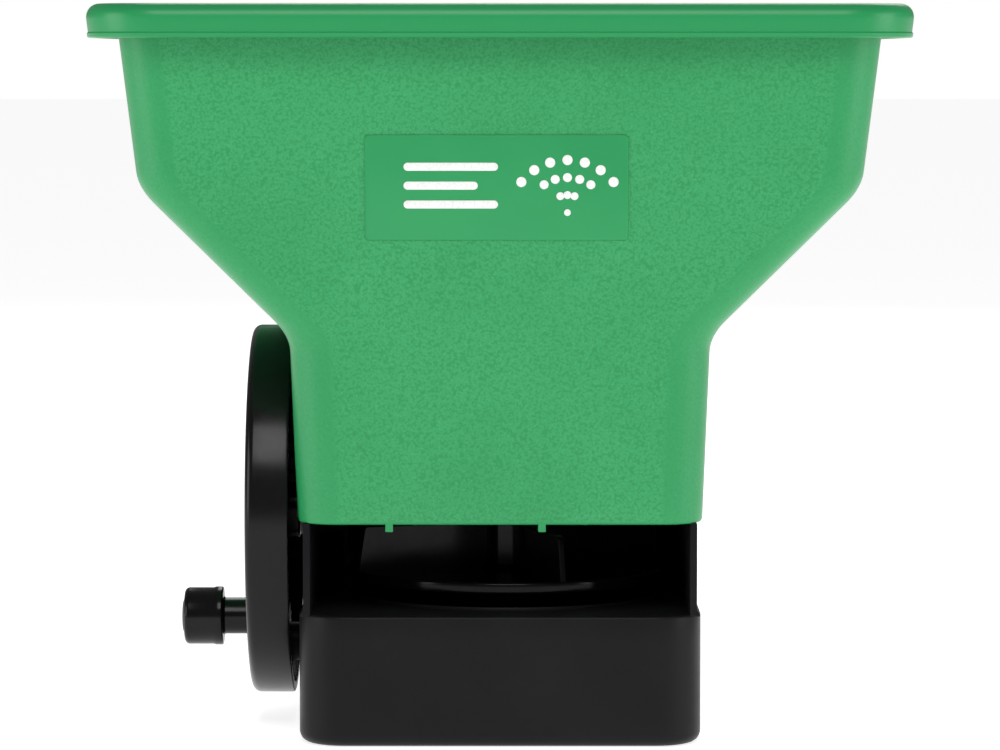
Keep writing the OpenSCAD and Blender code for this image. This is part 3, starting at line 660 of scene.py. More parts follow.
@dataclass(frozen=True)
class Plan:
    """Rounded rectangle seen from above, always with the same number of points."""

    left: float
    right: float
    front: float
    back: float
    corner: float
    arc_steps: int = 8
    side_steps: int = 8
    guard: float = 2.0

    def grown(self, out: float) -> Plan:
        """The same rectangle, larger all round."""
        return Plan(self.left - out, self.right + out, self.front - out, self.back + out,
                    max(self.corner + out, 0.3))

    def ring(self, z: float) -> Ring:
        """Points round the rectangle at a height."""
        c = self.corner
        corners = [(self.left + c, self.front + c), (self.right - c, self.front + c),
                   (self.right - c, self.back - c), (self.left + c, self.back - c)]
        ring: Ring = []
        for index, centre in enumerate(corners):
            turn = 180 + 90 * index
            here = arc(centre, c, turn, turn + 90, self.arc_steps)
            after = arc(corners[(index + 1) % 4], c, turn + 90, turn + 90, 1)[0]
            length = math.dist(here[-1], after)
            edge = self.guard / length
            inner = [edge + (1 - 2 * edge) * i / self.side_steps
                     for i in range(self.side_steps + 1)]
            here += [(here[-1][0] + (after[0] - here[-1][0]) * f,
                      here[-1][1] + (after[1] - here[-1][1]) * f) for f in inner]
            ring += [(x, y, z) for x, y in here]
        return ring

    def is_flat(self, place: int) -> bool:
        """Whether a ring's point lies on one of the flat sides."""
        return place % (self.arc_steps + 1 + self.side_steps + 1) > self.arc_steps


def round_like(ring: Ring, centre: Flat, radius: float, z: float) -> Ring:
    """Circle whose points lie in the same directions as another ring's."""
    result: Ring = []
    for x, y, _ in ring:
        turn = math.atan2(y - centre[1], x - centre[0])
        result.append((centre[0] + radius * math.cos(turn),
                       centre[1] + radius * math.sin(turn), z))
    return result


def between(first: Ring, last: Ring, part: float) -> Ring:
    """Ring part of the way from one ring to another."""
    return [tuple(a + (b - a) * part for a, b in zip(p, q)) for p, q in zip(first, last)]


@dataclass
class Hopper:
    """Open green funnel with a turned-down rim, its label and its print."""

    shelf: Shelf
    rim_out: float = 9.0
    skirt: float = 10.2
    neck: Flat = (61.0, 62.0)
    waist: Point = (63.2, 64.5, 123.0)
    shoulder: Point = (108.3, 98.0, 167.4)
    ease: Flat = (4.8, 7.0)
    front_foot: float = 64.0
    front_lean: float = 1.5
    wall: float = 2.4
    corner: float = 12.0
    floor_h: float = 2.5
    funnel_r: float = 31.0
    funnel_top: float = 97.0
    tab_w: float = 2.3
    tab_x: Flat = (-34.3, 11.4)
    rim_top: float = field(init=False)
    neck_z: float = field(init=False)
    side: Bend = field(init=False)
    back: Bend = field(init=False)

    def __post_init__(self) -> None:
        """Works out the two leaning walls from the frame's own box."""
        high = extent("hopper")[1]
        self.rim_top = high.z
        self.neck_z = extent("floor_bush")[0].z
        tops = (high.x - self.rim_out, high.y - self.rim_out)
        self.side, self.back = (
            Bend(((self.neck_z, self.neck[i]), (self.waist[2], self.waist[i]),
                  (self.shoulder[2], self.shoulder[i]), (self.rim_top, tops[i])), self.ease[i])
            for i in (0, 1))

    def front(self, z: float) -> float:
        """Place of the leaning front wall at a height."""
        return -self.front_foot - (z - self.neck_z) * math.tan(math.radians(self.front_lean))

    def plan(self, z: float, out: float = 0.0, drop: float = 0.0) -> Plan:
        """Outline at a height.

        Args:
            z: The height.
            out: How far the outline stands out from the outer wall.
            drop: How much lower the outer wall is read, for the inside of a slope.

        Returns:
            The outline.
        """
        half = self.side.at(z - drop)
        return Plan(-half, half, self.front(z), self.back.at(z - drop), self.corner).grown(out)

    def heights(self, low: float, high: float) -> list[float]:
        """Heights for rings between two levels, closer together at the two bends."""
        coarse = 5.5
        marks = {low, high}
        marks |= {low + (high - low) * i / round((high - low) / coarse)
                  for i in range(round((high - low) / coarse))}
        for bend in (self.waist[2], self.shoulder[2]):
            marks |= {bend + self.back.ease * i / 7 for i in range(-7, 8)}
        inside = sorted(z for z in marks if low <= z <= high)
        return [z for i, z in enumerate(inside) if i == 0 or z - inside[i - 1] > 0.3]

    def rim(self) -> list[Flat]:
        """Section of the rim as (height, out), from under the flange round to the inside."""
        out, top, low = self.rim_out, self.rim_top, self.rim_top - self.skirt
        outside = arc((top - 4.6, out - 4.6), 4.6, 90, 0, 8)
        inside = arc((top - 1.4, -self.wall + 1.4), 1.4, 0, -90, 4)
        return ([(top - 4.4, 0.0), (top - 3.4, 0.5), (top - 3.0, 1.5), (top - 3.0, out - 4.4),
                 (top - 3.8, out - 2.6), (low + 0.5, out - 2.2), (low, out - 1.8), (low, out - 0.1),
                 (low + 0.3, out + 0.35), (low + 1.3, out + 0.4), (low + 1.8, out)]
                + outside + inside)

    def build(self) -> None:
        """Models the funnel, its tabs, the label and the print."""
        rings: list[Ring] = []
        flat_rows: set[int] = set()
        floor_ring = self.plan(self.funnel_top, -self.wall).ring(self.funnel_top)
        floor = round_like(floor_ring, (0.0, 0.0), self.funnel_r, self.neck_z + self.floor_h)
        rings += [between(floor, floor_ring, part) for part in (0, 0.02, 0.25, 0.5, 0.75, 0.97)]
        inner = self.heights(self.funnel_top + 1.5, self.rim_top - 6)
        rings += [self.plan(z, -self.wall, drop=1.0).ring(z) for z in inner]
        rings += [self.plan(z, out).ring(z) for z, out in reversed(self.rim())]
        outer = self.heights(self.neck_z + 1.2, self.rim_top - 5.5)
        for z in reversed(outer):
            flat_rows.add(len(rings))
            rings.append(self.plan(z).ring(z))
        for z, out in ((0.35, -0.15), (0.0, -0.6), (0.0, -self.wall + 0.5), (0.3, -self.wall)):
            rings.append(self.plan(self.neck_z, out).ring(self.neck_z + z))
        under = self.plan(self.neck_z, -self.wall).ring(self.funnel_top - self.wall)
        flat = round_like(under, (0.0, 0.0), self.funnel_r + 2, self.neck_z)
        rings += [between(under, flat, part) for part in (0.03, 0.5, 0.98, 1)]
        reference = self.plan(self.neck_z)
        shell = skin("hopper_shell", rings, mask=lambda row, place: (
            (1.0 if reference.is_flat(place) else 0.45) if row in flat_rows else 0.0))
        self.cut_holes(shell)
        self.shelf.hand_in(shell, "base", "hopper_green", "hopper")
        self.build_label()

    def cut_holes(self, shell: bpy.types.Object) -> None:
        """Cuts the outlet, the shaft's and rod's holes and the axle ear's room; adds tabs."""
        carve(shell,
              drum(6.0, 60, 72, Axis.UP, tuple(middle("spinner_shaft")[:2])),
              block("outlet", (-10, 10, 60), (10, 22, 75)),
              self.rod_hole(),
              drum(13.4, 56, 66, Axis.OUTWARD, tuple(middle("wheel_axle")[1:])))
        foot = self.front(self.neck_z)
        for x in self.tab_x:
            tab = block("tab", (x, foot + 0.1, self.neck_z - 2.2),
                        (x + self.tab_w, foot + self.wall, self.neck_z + 1.5), edge=0.3)
            carve(shell, tab, how=Cut.JOIN)

    def rod_hole(self) -> bpy.types.Object:
        """Cutter for the gate rod's hole in the back of the neck."""
        outline = [(2.6 * math.cos(a), 71 + 2.6 * math.sin(a))
                   for a in (2 * math.pi * i / 32 for i in range(32))]
        return skin("rod_hole", [[(x, y, z) for x, z in outline] for y in (56.0, 66.0)])

    def on_front(self, x: float, z: float, out: float) -> Point:
        """Point a little way out from the front wall."""
        lean = math.radians(self.front_lean)
        return (x, self.front(z) - out * math.cos(lean), z - out * math.sin(lean))

    def raised(self, name: str, outline: Sequence[Flat], low: float, high: float,
               edge: float) -> bpy.types.Object:
        """Thin plate on the front wall, from an anticlockwise (x, z) outline."""
        layers = [(0.0, low), (0.0, high - edge), (edge * 0.3, high - edge * 0.3), (edge, high)]
        return skin(name, [[self.on_front(x, z, out) for x, z in inset(outline, depth)]
                           for depth, out in layers])

    def build_label(self) -> None:
        """Models the smooth label panel and a plain picture of grains being spread."""
        (left, _, low), (right, _, high) = extent("label_plate")
        x, z, width, height = (left + right) / 2, (low + high) / 2, right - left, high - low
        radius = 1.4
        panel = self.raised("label_panel", rounded(
            [(left, low, radius), (left + width, low, radius),
             (left + width, low + height, radius), (left, low + height, radius)]),
            -0.3, 0.5, 0.25)
        self.shelf.hand_in(panel, "base", "label_green", "label_plate")
        marks = [self.dot(x + a, z + b, r) for a, b, r in self.grain_fan()]
        marks += [self.bar(left + 11.5, left + 11.5 + length, z + rise, 2.4)
                  for length, rise in ((28, 6.2), (22, 0.6), (28, -5.0))]
        pick(*marks)
        bpy.ops.object.join()
        picture = bpy.context.object
        picture.name = "label_print"
        smooth(picture)
        picture.data.materials.clear()
        picture.data.materials.append(PRINT_WHITE.material())
        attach(picture, "base")
        LOG.info("label_print rides on base: %d marks", len(marks))

    def grain_fan(self) -> Iterable[tuple[float, float, float]]:
        """Dots thrown out in a fan: (sideways, up, radius) from the label's middle."""
        for lap, count in enumerate((1, 3, 5, 7)):
            for step in range(count):
                turn = math.radians(90 + (step - (count - 1) / 2) * 17)
                reach = 2.0 + lap * 5.2
                yield (21 + reach * math.cos(turn), -9.4 + reach * math.sin(turn),
                       1.0 + 0.17 * lap)

    def dot(self, x: float, z: float, radius: float) -> bpy.types.Object:
        """Round printed dot."""
        outline = [(x + radius * math.cos(a), z + radius * math.sin(a))
                   for a in (2 * math.pi * i / 28 for i in range(28))]
        return self.raised("dot", outline, 0.45, 0.62, 0.08)

    def bar(self, left: float, right: float, z: float, height: float) -> bpy.types.Object:
        """Printed stripe with round ends."""
        r = height / 2 - 0.02
        outline = rounded([(left, z - height / 2, r), (right, z - height / 2, r),
                           (right, z + height / 2, r), (left, z + height / 2, r)])
        return self.raised("bar", outline, 0.45, 0.62, 0.08)


# ---------------------------------------------------------------- housing


@dataclass
class Housing:
    """Black box with a round well in its deck and walls round the disc, and its cover."""

    shelf: Shelf
    corner: float = 14.0
    deck_z: float = 39.4
    wall: float = 2.6
    cheek: float = 59.2
    cheek_wall: float = 2.2
    cheek_front: float = 60.0
    cheek_back: float = 63.6
    well_r: float = 48.4
    well_z: float = 37.0
    rebate: float = 2.8
    half: float = field(init=False)
    depth: float = field(init=False)
    neck_z: float = field(init=False)
    spin_x: float = field(init=False)
    wheel_z: float = field(init=False)
    shaft_z: float = field(init=False)

    def __post_init__(self) -> None:
        """Reads the box and the shafts from the frame."""
        self.half, self.depth = extent("bottom_cover")[1].xy + Vector((self.rebate, self.rebate))
        self.neck_z = extent("floor_bush")[0].z
        self.spin_x = middle("spinner_shaft").x
        self.wheel_z = middle("wheel_axle").z
        self.shaft_z = middle("layshaft").z

    def box_plan(self, out: float = 0.0) -> Plan:
        """Outline of the box."""
        return Plan(-self.half, self.half, -self.depth, self.depth, self.corner).grown(out)

    def build(self) -> None:
        """Models the moulding and the cover under it."""
        shell = skin("housing_shell", self.box_rings())
        walls = self.walls()
        ear = [drum(13.0, 57.0, self.cheek, Axis.OUTWARD, (0.0, self.wheel_z)),
               drum(8.5, 58.0, self.half, Axis.OUTWARD, (0.0, self.wheel_z)),
               drum(7.5, 48.0, 58.0, Axis.OUTWARD, (0.0, self.wheel_z)),
               drum(8.0, 50.0, 59.0, Axis.OUTWARD, (0.0, self.shaft_z))]
        posts = [drum(4.0, self.deck_z - 1, self.neck_z, Axis.UP, (x, 51.0)) for x in (-50, 50)]
        carve(shell, walls, *ear, *posts, how=Cut.JOIN)
        carve(shell,
              drum(5.0, 49, 64, Axis.OUTWARD, (0.0, self.shaft_z)),
              drum(4.0, 47, 64, Axis.OUTWARD, (0.0, self.wheel_z)),
              drum(5.0, 30, 38, Axis.UP, (self.spin_x, 0.0)))
        self.shelf.hand_in(shell, "base", "black_plastic", "housing")
        self.build_cover()

    def box_rings(self) -> list[Ring]:
        """Rings of the box: from the cavity, round its lower edge and over the deck."""
        deck_under = self.deck_z - 2.4
        centre = (self.spin_x, 0.0)
        inner = self.box_plan(-self.wall)
        guide = inner.ring(0.0)
        bottom = 3.4
        rings = [round_like(guide, centre, r, z) for r, z in (
            (8.0, self.well_z - 2.4), (self.well_r + 2.4, self.well_z - 2.4),
            (self.well_r + 2.4, deck_under))]
        rings += [inner.ring(deck_under), inner.ring(0.3)]
        rings += [self.box_plan(r - bottom).ring(z)
                  for z, r in ((bottom - b, bottom + a - bottom) for a, b in
                               arc((0.0, 0.0), bottom, 78, 0, 7))]
        rings += [self.box_plan().ring(z) for z in (8.0, 16.0, 24.0, 32.0)]
        rings += [self.box_plan(a - 0.9).ring(self.deck_z - 0.9 + b)
                  for a, b in arc((0.0, 0.0), 0.9, 0, 90, 4)]
        rings += [round_like(guide, centre, r, self.deck_z + z) for r, z in (
            (self.well_r + 1.8, 0.0), (self.well_r + 1.4, 0.3), (self.well_r + 1.1, 0.75),
            (self.well_r + 0.5, 0.85), (self.well_r + 0.1, 0.6), (self.well_r, 0.2),
            (self.well_r, self.well_z - self.deck_z + 1.2),
            (self.well_r - 1.2, self.well_z - self.deck_z), (8.0, self.well_z - self.deck_z))]
        return rings

    def walls(self) -> bpy.types.Object:
        """U-shaped wall round the disc, its foot flared out to the box."""
        levels = ((self.deck_z - 0.6, 1.0), (self.deck_z, 0.9), (self.deck_z + 0.5, 0.55),
                  (self.deck_z + 1.3, 0.2), (self.deck_z + 2.6, 0.0), (self.neck_z - 0.02, 0.0))
        rings = [[(x, y, z) for x, y in self.wall_outline(out)] for z, out in levels]
        piece = skin("wall", rings)
        soften(piece, 0.35, segments=2, angle=60)
        return piece

    def wall_outline(self, out: float) -> list[Flat]:
        """Outline of the U-shaped wall from above, its outside moved out."""
        x, y, r = self.cheek + out, self.cheek_back + out, 10.0
        inner_x, inner_y = self.cheek - self.cheek_wall, self.cheek_back - 2.4
        inner_r = r - 2.3
        outside = ([(-x, -self.cheek_front)] + arc((-x + r, y - r), r, 180, 90, 8)
                   + arc((x - r, y - r), r, 90, 0, 8) + [(x, -self.cheek_front)])
        inside = ([(inner_x, -self.cheek_front)]
                  + arc((inner_x - inner_r, inner_y - inner_r), inner_r, 0, 90, 8)
                  + arc((-inner_x + inner_r, inner_y - inner_r), inner_r, 90, 180, 8)
                  + [(-inner_x, -self.cheek_front)])
        return outside + inside

    def build_cover(self) -> None:
        """Models the bottom cover with its boss, its grooves and sunk screw holes."""
        plan = self.box_plan(-self.wall - 0.15)
        rings = [plan.grown(out).ring(z) for z, out in
                 ((0.0, -0.5), (0.15, -0.15), (0.5, 0.0), (2.6, 0.0))]
        cover = skin("cover_plate", rings)
        boss = turned("boss", [(7.5, 2.0), (7.5, 7.2), (7.1, 7.6)], Axis.UP, (self.spin_x, 0.0))
        carve(cover, boss, how=Cut.JOIN)
        holes = [(x, y) for x in (-46.0, 46.0) for y in (-43.5, 43.5)]
        carve(cover, drum(5.0, 1.4, 9, Axis.UP, (self.spin_x, 0.0)),
              *[drum(3.3, -1, 1.5, Axis.UP, spot) for spot in holes],
              *[drum(1.7, -1, 5, Axis.UP, spot) for spot in holes],
              *[self.foot_groove(y) for y in (-30.0, 0.0, 30.0) if y])
        self.shelf.hand_in(cover, "base", "black_plastic", "bottom_cover")

    def foot_groove(self, y: float) -> bpy.types.Object:
        """Cutter for one shallow groove across the underside."""
        return block("groove", (-34, y - 1, -1), (34, y + 1, 0.5), edge=0.3)


# ---------------------------------------------------------------- crank


@dataclass
class Crank:
    """Crank wheel with its toothed ring, and the free-turning knob."""

    shelf: Shelf
    ring_root: float = 54.39
    ring_tip: float = 51.1
    teeth: int = 60
    neck_r: float = 5.7
    wheel_z: float = field(init=False)
    wheel_r: float = field(init=False)
    outer: float = field(init=False)
    inner: float = field(init=False)
    web: float = field(init=False)
    knob_z: float = field(init=False)
    knob_r: float = field(init=False)
    knob_end: float = field(init=False)

    def __post_init__(self) -> None:
        """Reads the wheel's and the knob's places from the frame."""
        low, high = extent("crank_wheel")
        self.wheel_z = (low.z + high.z) / 2
        self.wheel_r = (high.z - low.z) / 2
        self.outer, self.inner = -low.x, 1.4 - high.x
        self.web = self.outer - 2.4
        low, high = extent("knob")
        self.knob_z = (low.z + high.z) / 2
        self.knob_r = (high.z - low.z) / 2
        self.knob_end = -extent("knob_cap")[0].x

    def build(self) -> None:
        """Models the wheel and the knob."""
        wheel = turned("crank_wheel_shell", self.wheel_profile(), Axis.OUTWARD,
                       (0.0, self.wheel_z), 144, looped=True)
        boss = turned("boss", [(8.6, 75.0), (8.6, 75.9), (8.0, 76.6), (7.2, 77.1), (6.2, 77.2)],
                      Axis.OUTWARD, (0.0, self.knob_z), 48)
        carve(wheel, self.toothed_ring(), boss, how=Cut.JOIN)
        carve(wheel, drum(2.5, 75.0, 80.0, Axis.OUTWARD, (0.0, self.knob_z)))
        self.shelf.hand_in(wheel, "wheel", "black_gloss", "crank_wheel")
        self.build_knob()

    def wheel_profile(self) -> list[Flat]:
        """Section of the wheel, from its bore out over the hub, rim and face and back."""
        edge = 2.6
        bore, hub = 4.05, 9.0
        return ([(bore, 62.5), (hub - 0.5, 62.5), (hub, 63.0), (hub, self.web - 1.5),
                 (hub + 1.5, self.web), (self.ring_root - 1, self.web),
                 (self.ring_root, self.web - 1), (self.ring_root, self.inner + 0.3),
                 (self.ring_root + 0.3, self.inner), (self.wheel_r - 0.7, self.inner),
                 (self.wheel_r - 0.15, self.inner + 0.2), (self.wheel_r, self.inner + 0.8)]
                + arc((self.wheel_r - edge, self.outer - edge), edge, 0, 90, 8)
                + [(50.6, self.outer), (50.0, self.outer - 0.15), (49.2, self.outer - 0.95),
                   (48.6, self.outer - 1.1), (15.2, self.outer - 1.1),
                   (14.6, self.outer - 0.95), (13.8, self.outer - 0.1), (13.2, self.outer),
                   (10.5, self.outer), (10.1, self.outer - 0.3), (10.0, self.outer - 1.6),
                   (bore, self.outer - 1.6), (bore, 62.5)])

    def toothed_ring(self) -> bpy.types.Object:
        """Inner gear of the wheel."""
        steps = [(self.ring_root, -1.4), (self.ring_tip, -0.55), (self.ring_tip, 0.55),
                 (self.ring_root, 1.4)]
        inside: list[Flat] = []
        outside: list[Flat] = []
        for tooth in range(self.teeth):
            for radius, side in steps:
                turn = 2 * math.pi * tooth / self.teeth - math.pi / 2 + side / radius
                inside.append((radius * math.cos(turn), self.wheel_z + radius * math.sin(turn)))
                wide = self.ring_root + 1.2
                outside.append((wide * math.cos(turn), self.wheel_z + wide * math.sin(turn)))
        low, high = 65.6, self.web + 0.4
        loops = [(outside, low), (outside, high), (inside, high), (inside, low), (outside, low)]
        return skin("ring", [[lay(a, b, at, Axis.OUTWARD) for a, b in loop]
                             for loop, at in loops], looped=True)

    def build_knob(self) -> None:
        """Models the knob with its neck, and the domed cap in its end."""
        head = self.knob_end - 12.8
        r, end = self.knob_r, self.knob_end
        profile = ([(2.55, 77.4), (self.neck_r - 0.4, 77.4), (self.neck_r, 77.8),
                    (self.neck_r, head - 0.9), (self.neck_r + 0.4, head - 0.4),
                    (self.neck_r + 1.0, head - 0.3)]
                   + arc((r - 0.6, head + 0.3), 0.6, -90, 0, 4)
                   + [(r, head + 2.2), (r - 0.25, head + 2.7)]
                   + arc((r - 1.85, end - 2.5), 1.6, 0, 90, 6)
                   + [(5.5, end - 0.75), (5.2, end - 1.1), (5.2, end - 5.6), (2.55, end - 5.6),
                      (2.55, 77.4)])
        knob = turned("knob_shell", profile, Axis.OUTWARD, (0.0, self.knob_z), 72, looped=True)
        self.shelf.hand_in(knob, "knob", "black_gloss", "knob")
        dome = [(5.1 * math.sin(a), end - 0.6 * (1 - math.cos(a)))
                for a in (math.pi / 2 * i / 8 for i in range(8, 0, -1))]
        cap = turned("knob_cap_shell", [(4.6, end - 2.4), (5.0, end - 2.1), (5.1, end - 1.0)]
                     + dome[1:] + [(0.15, end)], Axis.OUTWARD, (0.0, self.knob_z), 48)
        self.shelf.hand_in(cap, "knob", "black_gloss", "knob_cap")


# ---------------------------------------------------------------- spinner


@dataclass
class Spinner:
    """Vaned disc and the agitator above it, both on the upright shaft."""

    shelf: Shelf
    low: float = 44.5
    top: float = 47.8
    vanes: int = 4
    first_vane: float = -70.0
    spin_x: float = field(init=False)
    radius: float = field(init=False)
    vane_top: float = field(init=False)

    def __post_init__(self) -> None:
        """Reads the disc's place from the frame."""
        low, high = extent("spinner_disc")
        self.spin_x, self.radius = (low.x + high.x) / 2, (high.x - low.x) / 2
        self.vane_top = high.z

    def build(self) -> None:
        """Models the disc and the agitator."""
        centre = (self.spin_x, 0.0)
        r, low, top = self.radius, self.low, self.top
        profile = ([(3.0, 40.0), (7.2, 40.0), (7.5, 40.3), (7.5, low), (8.5, low + 1.0),
                    (r - 2.4, low + 1.0), (r - 2.0, low + 0.6), (r - 2.0, low + 0.1),
                    (r - 1.7, low)]
                   + arc((r - 0.6, low + 0.6), 0.6, -90, 0, 4)
                   + arc((r - 0.7, top - 0.7), 0.7, 0, 90, 4)
                   + [(r - 1.9, top), (r - 2.3, top - 0.3), (r - 2.8, top - 0.8),
                      (9.0, top - 0.8), (7.5, top + 0.7), (7.5, self.vane_top - 0.5),
                      (7.0, self.vane_top), (3.0, self.vane_top), (3.0, 40.0)])
        disc = turned("spinner_plate", profile, Axis.UP, centre, 128, looped=True)
        carve(disc, *[self.vane(i * 360 / self.vanes) for i in range(self.vanes)], how=Cut.JOIN)
        self.shelf.hand_in(disc, "spinner", "disc_plastic", "spinner_disc")
        self.build_agitator(centre)

    def vane(self, turn: float) -> bpy.types.Object:
        """One upright vane, shorter at its top."""
        angle = math.radians(self.first_vane + turn)
        c, s = math.cos(angle), math.sin(angle)
        outline = rounded([(6.5, self.top - 1.4, 0), (self.radius - 0.8, self.top - 1.4, 0),
                           (self.radius - 3.2, self.vane_top, 1.2), (6.5, self.vane_top, 0)], 4)
        rings = [[(self.spin_x + a * c - side * s, a * s + side * c, z)
                  for a, z in inset(outline, depth)]
                 for side, depth in ((-0.9, 0.3), (-0.6, 0.0), (0.6, 0.0), (0.9, 0.3))]
        return skin("vane", rings)

    def build_agitator(self, centre: Flat) -> None:
        """Models the agitator: a tapered hub with two bent fingers."""
        hub = turned("agitator_shell", [(3.0, 74.0), (6.6, 74.0), (7.0, 74.4), (5.5, 89.4),
                                        (5.0, 90.8), (3.6, 92.0), (1.6, 92.4), (0.2, 92.45)],
                     Axis.UP, centre, 48)
        for turn in (25.0, 205.0):
            carve(hub, self.finger(turn), how=Cut.JOIN)
        self.shelf.hand_in(hub, "spinner", "black_plastic", "agitator")

    def finger(self, turn: float) -> bpy.types.Object:
        """One finger: out from the hub and bent upwards."""
        angle = math.radians(turn)
        path = ([(4.0, 78.2), (12.0, 78.2), (19.5, 78.2)]
                + arc((19.5, 82.2), 4.0, -75, 0, 6) + [(23.5, 87.0), (23.5, 87.6)])
        rings: list[Ring] = []
        for index, (out, z) in enumerate(path):
            before, after = path[max(index - 1, 0)], path[min(index + 1, len(path) - 1)]
            way = math.atan2(after[1] - before[1], after[0] - before[0])
            r = 2.0 if index < len(path) - 1 else 1.3
            rings.append([])
            for step in range(20):
                a = 2 * math.pi * step / 20
                reach, rise = out - r * math.cos(a) * math.sin(way), z + r * math.cos(a) * math.cos(way)
                side = r * math.sin(a)
                rings[-1].append((self.spin_x + reach * math.cos(angle) - side * math.sin(angle),
                                  reach * math.sin(angle) + side * math.cos(angle), rise))
        return skin("finger", rings)


# ---------------------------------------------------------------- grip


@dataclass
class Grip:
    """Loop grip in two halves, with the trigger and the flow dial."""

    shelf: Shelf
    bar: float = 24.0
    gap_top: float = 108.0
    gap_low: float = 27.0
    screws: tuple[Flat, ...] = ((124, 20), (124, 66), (124, 112), (116, 138))
    half_w: float = field(init=False)
    back: float = field(init=False)
    low: float = field(init=False)
    top: float = field(init=False)
    trigger_y: float = field(init=False)
    trigger_z: float = field(init=False)
    dial: Flat = field(init=False)

    def __post_init__(self) -> None:
        """Reads the grip's box and the pins from the frame."""
        low, high = extent("grip_right")
        self.half_w, self.back, self.top = high
        self.low = low.z
        self.trigger_y, self.trigger_z = middle("trigger_pin")[1:]
        self.dial = tuple(middle("flow_dial")[1:])

    def outline(self) -> list[Flat]:
        """Side outline of the loop as (y, z), with finger waves on the inside of the bar."""
        bar_front = self.back - self.bar
        corners = [(65.05, self.low, 0), (self.back, self.low, 15), (self.back, self.top, 20),
                   (82.3, self.top, 0), (64.6, 124.6, 0), (64.1, self.gap_top, 0),
                   (bar_front, self.gap_top, 10), (bar_front, self.gap_low, 10),
                   (65.05, self.gap_low, 0)]
        result: list[Flat] = []
        for y, z in spaced(rounded(corners, 10), 2.5):
            if abs(y - bar_front) < 0.01 and 40 < z < 96:
                y += 1.3 * (1 - math.cos((z - 40) / 56 * 3 * 2 * math.pi)) / 2
            result.append((y, z))
        return result

    def build(self) -> None:
        """Models both halves, the trigger and the dial."""
        outline = self.outline()
        for name, node, start, end, edges in (
                ("grip_shell_right", "grip_right", 0.04, self.half_w, (0.25, 5.0)),
                ("grip_shell_left", "grip_left", -self.half_w, -0.04, (5.0, 0.25))):
            half = pillow(name, outline, start, end, Axis.RIGHT, edges)
            self.cut_half(half, -1 if start < 0 else 1)
            self.shelf.hand_in(half, "base", "black_plastic", node)
        self.build_trigger()
        self.build_dial()

    def cut_half(self, half: bpy.types.Object, side: int) -> None:
        """Cuts the pocket of the trigger, the holes and the grip grooves in one half."""
        inner = self.half_w - 2.4

        def span(low: float, high: float) -> tuple[float, float]:
            """Sideways stretch on this half's side."""
            return (low, high) if side > 0 else (-high, -low)

        x0, x1 = span(-1.0, inner)
        pocket = block("pocket", (x0, 79.0, 110.4), (x1, 116.5, 145.4), edge=1.0)
        x0, x1 = span(-1.0, 6.4)
        mouth = block("mouth", (x0, 79.0, 105.0), (x1, 98.0, 113.0))
        tools = [pocket, mouth]
        if side > 0:
            tools.append(drum(3.06, 5, 15, Axis.RIGHT, self.dial))
        else:
            for spot in self.screws:
                tools += [drum(3.3, 11.4, 14, Axis.OUTWARD, spot),
                          drum(1.6, 5, 14, Axis.OUTWARD, spot)]
        for index in range(9):
            z = 44 + index * 6
            x0, x1 = span(-1.0, 9.0)
            tools.append(block("groove", (x0, self.back - 0.7, z - 0.8),
                               (x1, self.back + 2, z + 0.8), edge=0.3))
        carve(half, *tools)

    def build_trigger(self) -> None:
        """Models the trigger: a curved blade, a slim hub and a tail."""
        y, z = self.trigger_y, self.trigger_z
        blade = spaced(rounded([
            (y - 3.6, z - 8, 2.0), (y - 3.9, z - 30, 30), (y - 3.8, 62.0, 12),
            (y - 7.2, 54.2, 1.6), (y - 3.6, 52.6, 2.4), (y + 3.2, 60.5, 9),
            (y + 3.6, z - 30, 30), (y + 3.6, z - 4, 2.5), (y - 3.6, z - 4, 2.5)], 8), 4)
        hub = [(y + 6.5 * math.cos(a), z + 6.5 * math.sin(a))
               for a in (2 * math.pi * i / 48 for i in range(48))]
        tail = rounded([(y + 1, z - 3.5, 0), (y + 12.6, z + 5.4, 2.4), (y + 13.0, z + 10.2, 1.7),
                        (y + 9.6, z + 9.6, 2.0), (y - 2, z + 3.2, 0)], 6)
        trigger = pillow("trigger_blade", blade, -5.8, 5.8, Axis.RIGHT, (1.5, 1.5))
        carve(trigger, pillow("hub", hub, -5.8, 2.0, Axis.RIGHT, (0.5, 0.5)),
              pillow("tail", tail, -5.6, 1.8, Axis.RIGHT, (0.4, 0.4)), how=Cut.JOIN)
        carve(trigger, drum(7.0, 2.0, 7.0, Axis.RIGHT, (y, z)),
              block("fork", (-2.7, y - 10, 62), (2.7, y + 10, 84), edge=0.4),
              drum(2.05, -7, 7, Axis.RIGHT, (y, z)), drum(1.5, -7, 7, Axis.RIGHT, (y, 71.0)))
        self.shelf.hand_in(trigger, "trigger", "black_gloss", "trigger")

    def build_dial(self) -> None:
        """Models the fluted dial with a raised pointer."""
        y, z = self.dial
        start = self.half_w + 0.4
        outline = [((9.5 + 0.5 * math.cos(14 * a)) * math.cos(a) + y,
                    (9.5 + 0.5 * math.cos(14 * a)) * math.sin(a) + z)
                   for a in (2 * math.pi * i / 168 for i in range(168))]
        dial = pillow("flow_dial_knob", outline, start, start + 5.6, Axis.RIGHT, (0.3, 0.7))
        pointer = block("pointer", (start + 5.0, y - 0.7, z + 1.5), (start + 6.1, y + 0.7, z + 7.8),
                        edge=0.3)
        stem = drum(3.0, start - 8.8, start + 1, Axis.RIGHT, self.dial)
        carve(dial, pointer, stem, how=Cut.JOIN)
        self.shelf.hand_in(dial, "dial", "dial_grey", "flow_dial")


# ---------------------------------------------------------------- studio


